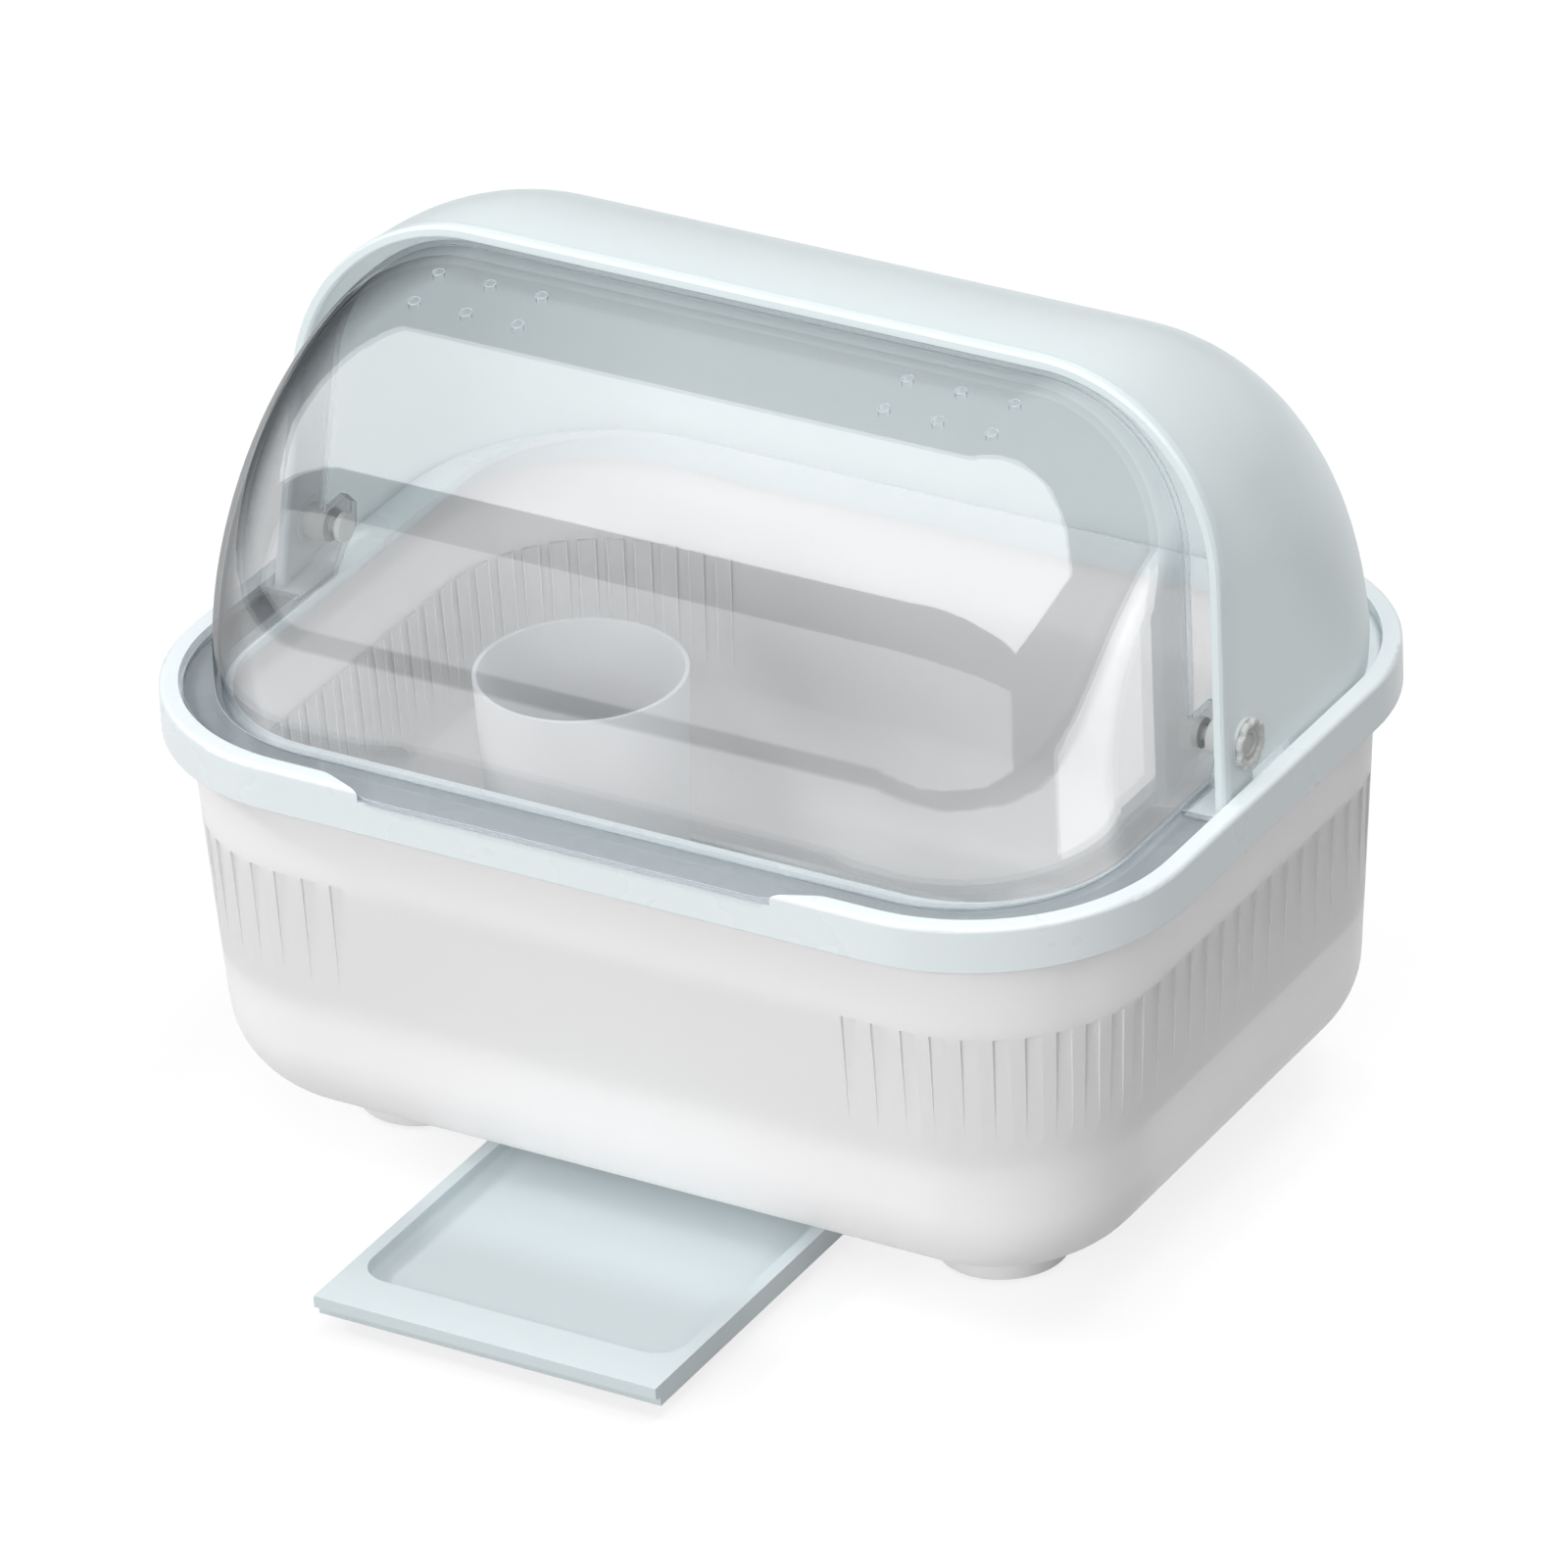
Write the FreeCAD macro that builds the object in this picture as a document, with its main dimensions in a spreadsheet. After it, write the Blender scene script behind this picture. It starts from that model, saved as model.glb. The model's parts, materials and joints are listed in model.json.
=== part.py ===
import FreeCAD, Part
import math
import os
import Sketcher
from FreeCAD import Placement, Rotation, Vector

# Covered dish drying rack, in millimetres, +Z up
# The origin lies on the table, under the middle of the tub; the front faces -Y
# The lid is closed and the drip tray is pulled out, as the rack is photographed

doc = FreeCAD.newDocument("CoveredDishRack")

# Driving dimensions

SIZES = [
    # Tub
    ("tub_half_width", 190.0, "outer half width at the top edge"),
    ("tub_half_depth", 138.5, "outer half depth at the top edge"),
    ("tub_corner", 66.0, "plan corner radius at the top edge"),
    ("tub_draft", 10.0, "how far each wall draws in from top to bottom"),
    ("tub_floor_level", 18.0, "underside of the tub above the table"),
    ("tub_height", 152.0, "underside to top edge"),
    ("tub_wall", 2.5, "wall and floor thickness"),
    ("tub_bottom_radius", 36.0, "outer radius between wall and floor"),
    ("drain_hole_diameter", 7.0, "holes through the tub floor"),
    ("drain_circle_radius", 16.0, "ring of drain holes"),
    # Flutes in the tub wall
    ("flute_width", 6.0, "across one flute"),
    ("flute_pitch", 11.4, "along the wall from flute to flute"),
    ("flute_depth", 1.3, "at the sharp top end"),
    ("flute_height", 44.0, "top end to where it fades out"),
    ("flute_top_drop", 43.0, "top end below the tub edge"),
    ("flute_start_inset", 87.0, "first flute on the front wall, in from the side"),
    # Rim frame
    ("rim_overhang_side", 10.0, "rim past the tub at each side"),
    ("rim_overhang_front", 11.0, "rim past the tub at front and back"),
    ("rim_corner_extra", 14.0, "rim corner radius over the tub corner radius"),
    ("rim_height", 17.5, "skirt bottom to top face"),
    ("rim_drop", 10.0, "how far the skirt hangs below the tub edge"),
    ("rim_skin", 2.5, "skirt thickness"),
    ("rim_plate", 3.0, "thickness of the ledge on the tub edge"),
    ("rim_lip_width", 7.0, "top face width"),
    ("rim_lip_rib", 2.0, "locating rib inside the tub wall"),
    ("rim_top_round", 1.8, "outer top edge"),
    ("rim_foot_round", 0.8, "outer lower edge"),
    ("ledge_width_side", 17.5, "ledge under the lid flange, sides"),
    ("ledge_width_front", 20.0, "ledge under the lid flange, front"),
    ("ledge_width_back", 9.6, "ledge under the hood, back"),
    ("fit_gap", 0.4, "clearance between pieces that locate each other"),
    # Hood
    ("hood_over_lid", 5.2, "highest line of the hood above the lid"),
    ("hood_wall", 2.4, "hood thickness"),
    ("hood_side_gap", 1.0, "hood foot inside the rim lip"),
    ("hood_back_gap", 6.2, "hood foot inside the rim lip at the back"),
    ("hood_side_draft", 4.3, "degrees each side leans in"),
    ("hood_back_draft", 2.6, "degrees the back leans in"),
    ("hood_edge_radius", 72.0, "round edges between top and sides"),
    ("hood_corner_radius", 78.0, "upright round edges at the back corners"),
    ("hood_back_radius", 138.0, "sweep from the top down the back"),
    ("hood_front_foot", -28.0, "front edge position at rim height"),
    ("hood_front_tilt", 8.0, "degrees the front edge leans back"),
    ("bead_proud", 0.9, "bead stands out past the hood skin"),
    ("bead_inset", 3.6, "bead reaches in past the hood skin"),
    ("bead_depth", 6.0, "bead front to back"),
    ("bead_round", 1.8, "bead edge radius"),
    # Lid
    ("pin_back", -9.0, "hinge axis position, front to back"),
    ("pin_rise", 14.5, "hinge axis above the rim"),
    ("lid_front_inset", 16.2, "front of the lid behind the front of the rim"),
    ("lid_side_inset", 22.4, "lid at the hinge axis in from the side of the rim"),
    ("lid_draft", 4.4, "degrees each lid cheek leans in"),
    ("lid_edge_radius", 60.0, "round edges of the lid"),
    ("lid_wall", 2.2, "lid thickness"),
    ("lid_flange", 2.2, "flange thickness"),
    ("lid_flange_gap", 1.5, "flange edge to rim lip"),
    ("lid_seat_gap", 0.3, "flange above the ledge"),
    ("flange_end_gap", 6.0, "flange end in front of the hood bead"),
    ("lid_tuck", 5.0, "lid edge behind the front of the hood bead"),
    ("lid_ear", 11.0, "round ear about the hinge pin"),
    ("tab_half_length", 79.0, "straight front of the hand tab"),
    ("tab_flare", 19.0, "each sloping end of the tab"),
    ("tab_proud", 0.6, "tab past the rim skirt"),
    ("tab_round", 14.0, "plan radius where the tab bends"),
    ("notch_gap", 1.0, "tab to notch"),
    ("vent_diameter", 4.2, "vent holes"),
    ("vent_pitch", 21.0, "across the lid"),
    ("vent_centre", 94.0, "middle of each vent group"),
    ("vent_row_front", -43.5, "front row"),
    ("vent_row_back", -27.0, "back row"),
    # Hinge pins
    ("pin_diameter", 6.0, "hinge pin"),
    ("pin_play", 0.06, "radial play of the lid on the pin"),
    ("hinge_play", 0.3, "side play of each lid ear"),
    ("bush_diameter", 13.0, "spacer bush"),
    ("ring_diameter", 11.0, "ring on the inner pin end"),
    ("ring_width", 2.2, "ring along the pin"),
    ("cap_radius", 9.6, "lobed cap"),
    ("cap_lobe", 0.9, "depth of the scallops"),
    ("cap_thickness", 1.6, "lobed cap"),
    ("cap_dimple", 4.6, "dimple radius"),
    ("cap_dimple_depth", 0.5, "dimple in the cap face"),
    ("foot_slot_front", -6.0, "front end of the slot in each hood foot"),
    ("foot_slot_back", 20.0, "back end of the slot in each hood foot"),
    ("foot_slot_rise", 2.0, "slot above the rim"),
    ("boss_radius", 9.0, "flat seat on the hood for the cap"),
    ("boss_proud", 0.8, "flat seat past the hood skin"),
    # Cutlery cup
    ("cup_top_radius", 38.9, "outside at the lip"),
    ("cup_foot_radius", 33.8, "outside at the foot"),
    ("cup_top_level", 149.0, "lip above the table"),
    ("cup_wall", 1.6, "cup wall and floor"),
    ("cup_foot_round", 3.0, "outer edge of the foot"),
    ("cup_side_inset", 53.0, "cup axis in from the side of the drain board"),
    ("cup_back", 3.0, "cup axis, front to back"),
    ("cup_hole_diameter", 5.0, "drain holes in the cup floor"),
    # Drain board
    ("board_side_gap", 52.0, "drain board in from the side of the tub edge"),
    ("board_end_gap", 52.5, "drain board in from the front and back of the tub edge"),
    ("board_corner", 30.0, "drain board corners"),
    ("board_plate", 3.0, "drain board thickness"),
    ("board_leg", 12.0, "drain board standing height"),
    ("board_leg_radius", 5.0, "drain board legs"),
    ("board_edge", 5.0, "raised edge height"),
    ("slot_width", 8.0, "drain slots"),
    ("slot_length", 62.0, "drain slots"),
    ("slot_pitch", 20.0, "drain slots"),
    # Drip tray
    ("tray_half_width", 69.0, "outside"),
    ("tray_length", 236.0, "front to back"),
    ("tray_pulled_out", 68.5, "tray front past the rim, as pulled out"),
    ("tray_under_tub", 3.5, "top face below the tub"),
    ("tray_height", 8.5, "top face to underside"),
    ("tray_front_border", 19.0, "flat border at the front"),
    ("tray_side_border", 5.0, "flat border at each side"),
    ("tray_basin_depth", 6.0, "basin below the top face"),
    ("tray_basin_corner", 12.0, "basin corners"),
    ("tray_basin_round", 2.5, "basin floor edge"),
    ("tray_lip_height", 4.0, "lower step of the front lip"),
    ("tray_lip_set_back", 3.0, "lower step behind the front edge"),
    # Tray runners
    ("runner_front", -79.0, "front end of the runner"),
    ("runner_length", 186.0, "front to back"),
    ("runner_wall", 2.4, "runner sheet"),
    ("runner_ledge", 6.0, "ledge under the tray edge"),
    ("runner_play", 0.5, "tray to runner wall"),
    ("tray_seat_gap", 0.3, "tray underside above the runner ledge"),
    # Feet
    ("foot_side_inset", 61.0, "foot axis in from the side of the tub floor"),
    ("foot_end_inset", 64.5, "foot axis in from the front and back of the tub floor"),
    ("foot_top_radius", 27.0, "foot at the tub floor"),
    ("foot_base_radius", 23.5, "foot near the table"),
    ("pad_radius", 18.0, "rubber pad"),
    ("pad_height", 3.0, "rubber pad"),
    ("pad_proud", 1.2, "pad below the foot"),
]

# Sizes that follow from the driving ones, so that the pieces keep together

FOLLOWING = [
    ("flute_top_level", "tub_floor_level + tub_height - flute_top_drop", "top end of the flutes"),
    ("flute_start", "tub_half_width - flute_start_inset", "first flute from the middle of the front wall"),
    ("rim_half_width", "tub_half_width + rim_overhang_side", "rim, outer half width"),
    ("rim_half_depth", "tub_half_depth + rim_overhang_front", "rim, outer half depth"),
    ("rim_corner", "tub_corner + rim_corner_extra", "rim, outer plan corner radius"),
    ("pin_level", "tub_floor_level + tub_height - rim_drop + rim_height + pin_rise", "hinge axis level"),
    ("lid_radius", "rim_half_depth + pin_back - lid_front_inset", "outside of the lid from the hinge axis"),
    ("lid_half_width", "rim_half_width - lid_side_inset", "outside of the lid at the hinge axis"),
    ("hood_top_level", "pin_level + lid_radius + hood_over_lid", "highest line of the hood"),
    ("board_half_width", "tub_half_width - board_side_gap", "drain board"),
    ("board_half_depth", "tub_half_depth - board_end_gap", "drain board"),
    ("cup_across", "cup_side_inset - board_half_width", "cup axis, left of the middle"),
    ("tray_front", "-1 * rim_half_depth - tray_pulled_out", "front edge as pulled out"),
    ("tray_top_level", "tub_floor_level - tray_under_tub", "top face above the table"),
    ("foot_across", "tub_half_width - tub_draft - foot_side_inset", "foot axis from the middle"),
    ("foot_back", "tub_half_depth - tub_draft - foot_end_inset", "foot axis, front to back"),
]
ALL_SIZES = SIZES + [(alias, "=" + formula, note) for alias, formula, note in FOLLOWING]

sheet = doc.addObject("Spreadsheet::Sheet", "Sizes")
for row, (alias, value, note) in enumerate(ALL_SIZES, start=1):
    sheet.set("A%d" % row, alias)
    sheet.set("B%d" % row, str(value))
    sheet.set("C%d" % row, note)
    sheet.setAlias("B%d" % row, alias)
doc.recompute()


def named(*words):
    """Write an expression with every plain size name pointing at the sheet."""
    text = " ".join(words)
    for alias, _value, _note in ALL_SIZES:
        text = text.replace("<%s>" % alias, "Sizes.%s" % alias)
    return text


def value_of(expression):
    """Number that an expression gives with the sheet as it stands."""
    result = sheet.evalExpression(named(expression))
    return float(getattr(result, "Value", result))


def bind(item, prop, expression):
    item.setExpression(prop, named(expression))


# Levels and places that several pieces share, worked out from the sheet

TUB_TOP = "(<tub_floor_level> + <tub_height>)"
RIM_BOTTOM = "(<tub_floor_level> + <tub_height> - <rim_drop>)"
RIM_TOP = "(%s + <rim_height>)" % RIM_BOTTOM
LEDGE_TOP = "(%s + <rim_plate>)" % TUB_TOP
LIP_HALF_WIDTH = "(<rim_half_width> - <rim_lip_width>)"
LIP_HALF_DEPTH = "(<rim_half_depth> - <rim_lip_width>)"
LIP_CORNER = "(<rim_corner> - <rim_lip_width>)"
FLANGE_BOTTOM = "(%s + <lid_seat_gap>)" % LEDGE_TOP
TUB_INNER_FLOOR = "(<tub_floor_level> + <tub_wall>)"
BOARD_TOP = "(%s + <board_leg>)" % TUB_INNER_FLOOR
TRAY_BOTTOM = "(<tray_top_level> - <tray_height>)"
HOOD_FOOT_HALF = "(%s - <hood_side_gap>)" % LIP_HALF_WIDTH
HOOD_FOOT_BACK = "(%s - <hood_back_gap>)" % LIP_HALF_DEPTH
HOOD_SIDE_AT_PIN = "(%s - (<pin_level> - %s) * tan(<hood_side_draft>))" % (HOOD_FOOT_HALF, LEDGE_TOP)
BOSS_FACE = "(%s + <boss_proud>)" % HOOD_SIDE_AT_PIN
BUSH_OUTER_FACE = "(%s - <boss_proud> - <hood_wall> - 1)" % BOSS_FACE


# Helpers for bodies, sketches and features

PLANES = {"XY": "XY_Plane", "XZ": "XZ_Plane", "YZ": "YZ_Plane"}


def new_body(label):
    body = doc.addObject("PartDesign::Body", label)
    body.Label = label
    return body


def new_sketch(body, label, plane, level="0"):
    """Sketch on an origin plane of its own body, moved along the plane's normal."""
    sketch = body.newObject("Sketcher::SketchObject", label)
    role = PLANES[plane]
    support = [f for f in body.Origin.OriginFeatures if f.Role == role][0]
    sketch.AttachmentSupport = [(support, "")]
    sketch.MapMode = "FlatFace"
    bind(sketch, "AttachmentOffset.Base.z", level)
    sketch.AttachmentOffset = Placement(Vector(0, 0, value_of(level)), Rotation())
    return sketch


def bound_constraint(sketch, name, kind, *args):
    """Add a named dimension whose value is the expression in the last argument."""
    expression = args[-1]
    index = sketch.addConstraint(Sketcher.Constraint(kind, *args[:-1], value_of(expression)))
    sketch.renameConstraint(index, name)
    bind(sketch, "Constraints." + name, expression)


def add_polygon(sketch, corners, tag="p"):
    """Closed polygon; each corner is a pair of expressions."""
    points = [Vector(value_of(x), value_of(y), 0) for x, y in corners]
    count = len(points)
    first = sketch.GeometryCount
    for i in range(count):
        sketch.addGeometry(Part.LineSegment(points[i], points[(i + 1) % count]), False)
    for i in range(count):
        follower = first + (i + 1) % count
        sketch.addConstraint(Sketcher.Constraint("Coincident", first + i, 2, follower, 1))
    for i, (x, y) in enumerate(corners):
        bound_constraint(sketch, "%s%dx" % (tag, i), "DistanceX", -1, 1, first + i, 1, x)
        bound_constraint(sketch, "%s%dy" % (tag, i), "DistanceY", -1, 1, first + i, 1, y)


def add_rounded(sketch, half, low, high, radius, tag="r", middle="0"):
    """Rounded rectangle from low to high, even about an upright line at middle."""
    hx, y0, y1, r = [value_of(e) for e in (half, low, high, radius)]
    first = sketch.GeometryCount
    mx = value_of(middle)
    turn = math.pi / 2

    def line(xa, ya, xb, yb):
        sketch.addGeometry(Part.LineSegment(Vector(mx + xa, ya, 0), Vector(mx + xb, yb, 0)), False)

    def arc(cx, cy, start):
        circle = Part.Circle(Vector(mx + cx, cy, 0), Vector(0, 0, 1), r)
        sketch.addGeometry(Part.ArcOfCircle(circle, start * turn, (start + 1) * turn), False)

    line(-hx + r, y0, hx - r, y0)
    arc(hx - r, y0 + r, 3)
    line(hx, y0 + r, hx, y1 - r)
    arc(hx - r, y1 - r, 0)
    line(hx - r, y1, -hx + r, y1)
    arc(-hx + r, y1 - r, 1)
    line(-hx, y1 - r, -hx, y0 + r)
    arc(-hx + r, y0 + r, 2)
    for i in range(8):
        sketch.addConstraint(Sketcher.Constraint("Tangent", first + i, 2, first + (i + 1) % 8, 1))
    for i in (0, 4):
        sketch.addConstraint(Sketcher.Constraint("Horizontal", first + i))
    for i in (2, 6):
        sketch.addConstraint(Sketcher.Constraint("Vertical", first + i))
    for i in (3, 5, 7):
        sketch.addConstraint(Sketcher.Constraint("Equal", first + 1, first + i))
    bound_constraint(sketch, tag + "_radius", "Radius", first + 1, radius)
    right = "%s + %s" % (middle, half)
    left = "%s - %s" % (middle, half)
    bound_constraint(sketch, tag + "_right", "DistanceX", -1, 1, first + 2, 1, right)
    bound_constraint(sketch, tag + "_left", "DistanceX", -1, 1, first + 6, 1, left)
    bound_constraint(sketch, tag + "_low", "DistanceY", -1, 1, first, 1, low)
    bound_constraint(sketch, tag + "_high", "DistanceY", -1, 1, first + 4, 1, high)


def add_circle(sketch, x, y, radius, tag="c"):
    """Circle whose centre and radius are expressions."""
    centre = Vector(value_of(x), value_of(y), 0)
    index = sketch.GeometryCount
    sketch.addGeometry(Part.Circle(centre, Vector(0, 0, 1), value_of(radius)), False)
    bound_constraint(sketch, tag + "_x", "DistanceX", -1, 1, index, 3, x)
    bound_constraint(sketch, tag + "_y", "DistanceY", -1, 1, index, 3, y)
    bound_constraint(sketch, tag + "_r", "Radius", index, radius)


def pad(body, label, sketch, length, midplane=False, reverse=False):
    feature = body.newObject("PartDesign::Pad", label)
    feature.Profile = sketch
    feature.Midplane = midplane
    feature.Reversed = reverse
    bind(feature, "Length", length)
    body.Tip = feature
    doc.recompute()
    return feature


def pocket(body, label, sketch, length, midplane=False, reverse=False):
    feature = body.newObject("PartDesign::Pocket", label)
    feature.Profile = sketch
    feature.Midplane = midplane
    feature.Reversed = reverse
    bind(feature, "Length", length)
    body.Tip = feature
    doc.recompute()
    return feature


def fillet(body, label, radius, test):
    """Round every edge of the body's last feature that passes the test."""
    base = body.Tip
    names = ["Edge%d" % (i + 1) for i, edge in enumerate(base.Shape.Edges) if test(edge)]
    if not names:
        raise RuntimeError("no edge for " + label)
    feature = body.newObject("PartDesign::Fillet", label)
    feature.Base = (base, names)
    bind(feature, "Radius", radius)
    body.Tip = feature
    doc.recompute()
    return feature


def at_level(level):
    """Edge test: the whole edge lies at this height."""
    target = value_of(level)

    def test(edge):
        box = edge.BoundBox
        return abs(box.ZMin - target) < 0.01 and abs(box.ZMax - target) < 0.01
    return test


def drafted(body, label, angle, level):
    """Lean every upright face of the body's last feature in, away from this level."""
    base = body.Tip
    target = value_of(level)
    upright = []
    fixed = []
    for i, face in enumerate(base.Shape.Faces):
        box = face.BoundBox
        if box.ZLength > 0.01:
            upright.append("Face%d" % (i + 1))
        elif abs(box.ZMax - target) < 0.01:
            fixed.append("Face%d" % (i + 1))
    feature = body.newObject("PartDesign::Draft", label)
    feature.Base = (base, upright)
    feature.NeutralPlane = (base, fixed[:1])
    bind(feature, "Angle", angle)
    body.Tip = feature
    doc.recompute()
    if feature.Shape.Volume > base.Shape.Volume:
        feature.Reversed = True
        doc.recompute()
    return feature


def boolean(kind, label, base, tool):
    result = doc.addObject("Part::" + kind, label)
    result.Label = label
    result.Base = base
    result.Tool = tool
    doc.recompute()
    return result


def side_cylinder(label, radius, start, length):
    """Part cylinder along X about the hinge axis; start and length are expressions."""
    rod = doc.addObject("Part::Cylinder", label)
    rod.Label = label
    bind(rod, "Radius", radius)
    bind(rod, "Height", length)
    rod.Placement = Placement(Vector(value_of(start), 0, 0), Rotation(Vector(0, 1, 0), 90))
    bind(rod, "Placement.Base.x", start)
    bind(rod, "Placement.Base.y", "<pin_back>")
    bind(rod, "Placement.Base.z", "<pin_level>")
    return rod


def mirrored_start(side, near, far):
    """Start of a part along X that spans near to far from the middle on one side."""
    return near if side == 1 else "(-1 * %s)" % far


# Outer tub: a tapered shell with fluted walls and a ring of drain holes

def tub_sketch(body, label, level, inward):
    """Plan outline of the tub at a level; inward is the wall offset from the top edge."""
    sketch = new_sketch(body, label, "XY", level)
    half = "(<tub_half_width> - %s)" % inward
    deep = "(<tub_half_depth> - %s)" % inward
    add_rounded(sketch, half, "-1 * " + deep, deep, "(<tub_corner> - %s)" % inward)
    return sketch


def flute_places():
    """Point and outward angle of each flute at the tub's top edge, right half."""
    half = value_of("<tub_half_width>")
    deep = value_of("<tub_half_depth>")
    corner = value_of("<tub_corner>")
    start = value_of("<flute_start>")
    run_front = half - corner - start
    run_corner = corner * math.pi / 2
    run_side = 2 * (deep - corner)
    total = 2 * run_front + 2 * run_corner + run_side
    count = int(total / value_of("<flute_pitch>"))
    places = []
    for i in range(count + 1):
        along = total * i / count
        if along <= run_front:
            places.append((start + along, -deep, -90.0))
            continue
        along -= run_front
        if along <= run_corner:
            angle = -90.0 + math.degrees(along / corner)
            x = half - corner + corner * math.cos(math.radians(angle))
            y = -deep + corner + corner * math.sin(math.radians(angle))
            places.append((x, y, angle))
            continue
        along -= run_corner
        if along <= run_side:
            places.append((half, -deep + corner + along, 0.0))
            continue
        along -= run_side
        if along <= run_corner:
            angle = math.degrees(along / corner)
            x = half - corner + corner * math.cos(math.radians(angle))
            y = deep - corner + corner * math.sin(math.radians(angle))
            places.append((x, y, angle))
            continue
        along -= run_corner
        places.append((half - corner - along, deep, 90.0))
    return places


def flute_wedges(label, offset, overrun):
    """Wedges deepest at their flat top; offset moves them in from the outer face."""
    top = value_of("<flute_top_level>")
    bottom = top - value_of("<flute_height>")
    slope = value_of("<tub_draft>") / value_of("<tub_height>")
    edge = value_of(TUB_TOP)
    depth = value_of("<flute_depth>")
    width = value_of("<flute_width>")

    def face(level):
        return -(edge - level) * slope - offset

    outline = [
        Vector(face(bottom) + overrun, -width / 2, bottom),
        Vector(face(top) + overrun, -width / 2, top),
        Vector(face(top) - depth, -width / 2, top),
        Vector(face(bottom) - 0.02, -width / 2, bottom),
    ]
    wedge = Part.Face(Part.makePolygon(outline + outline[:1])).extrude(Vector(0, width, 0))
    copies = []
    for x, y, angle in flute_places():
        for side in (1, -1):
            copy = wedge.copy()
            turn = angle if side == 1 else 180.0 - angle
            copy.Placement = Placement(Vector(side * x, y, 0), Rotation(Vector(0, 0, 1), turn))
            copies.append(copy)
    group = doc.addObject("Part::Feature", label)
    group.Label = label
    group.Shape = Part.makeCompound(copies)
    return group


def tapered_tub(label, inward, bottom, radius):
    """Solid tub shape drawn in towards the bottom, as a body of its own."""
    body = new_body(label)
    sketch = tub_sketch(body, label + "_outline", TUB_TOP, inward)
    pad(body, label + "_block", sketch, "%s - %s" % (TUB_TOP, bottom), reverse=True)
    drafted(body, label + "_draft", "atan(<tub_draft> / <tub_height>)", TUB_TOP)
    fillet(body, label + "_round", radius, at_level(bottom))
    return body


def outer_tub():
    outside = tapered_tub("tub_outside", "0", "<tub_floor_level>", "<tub_bottom_radius>")
    inside = tapered_tub("tub_inside", "<tub_wall>", TUB_INNER_FLOOR, "<tub_bottom_radius> - <tub_wall>")
    shell = boolean("Cut", "tub_shell", outside, inside)
    ribs = flute_wedges("flute_ribs", value_of("<tub_wall>"), 0.4)
    cutters = flute_wedges("flute_cutters", 0.0, 1.0)
    ribbed = boolean("Fuse", "tub_with_ribs", shell, ribs)
    fluted = boolean("Cut", "tub_fluted", ribbed, cutters)
    drains = new_body("tub_drains")
    holes = new_sketch(drains, "drain_hole_sketch", "XY", "<tub_floor_level> - 1")
    add_circle(holes, "0", "0", "<drain_hole_diameter> / 2", "middle")
    for i in range(6):
        x = "<drain_circle_radius> * cos(%d * 60 deg)" % i
        y = "<drain_circle_radius> * sin(%d * 60 deg)" % i
        add_circle(holes, x, y, "<drain_hole_diameter> / 2", "hole%d" % i)
    pad(drains, "drain_plugs", holes, "<tub_wall> + 2")
    return boolean("Cut", "outer_tub", fluted, drains)


# Rim frame: ring over the tub edge with a lip, a ledge and a notch for the lid tab

def tab_outline(gap, lip, front):
    """Tab plan as a polygon; gap widens it, from the lip line to how far forward it reaches."""
    back = "(-1 * %s + 6)" % LIP_HALF_DEPTH
    near = "(<tab_half_length> + %s)" % gap
    far = "(<tab_half_length> + <tab_flare> + %s)" % gap
    inside = "(<tab_half_length> + <tab_flare> * 0.5)"
    return [
        ("-1 * " + inside, back),
        ("-1 * " + far, lip),
        ("-1 * " + near, front),
        (near, front),
        (far, lip),
        (inside, back),
    ]


def upright_near(reach):
    """Edge test: upright edge on the front wall, as far across as one of these values."""
    spots = [value_of(r) for r in reach]
    front = value_of("-1 * <rim_half_depth> * 2 / 3")

    def test(edge):
        box = edge.BoundBox
        if box.ZLength < 1 or box.XLength > 0.01 or box.YLength > 0.01 or box.YMax > front:
            return False
        return any(abs(abs(box.XMin) - spot) < 0.05 for spot in spots)
    return test


def rim_ring_sketch(body, label, level, inward):
    sketch = new_sketch(body, label, "XY", level)
    half = "(<rim_half_width> - %s)" % inward
    deep = "(<rim_half_depth> - %s)" % inward
    add_rounded(sketch, half, "-1 * " + deep, deep, "(<rim_corner> - %s)" % inward, "outer")
    return sketch


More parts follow.
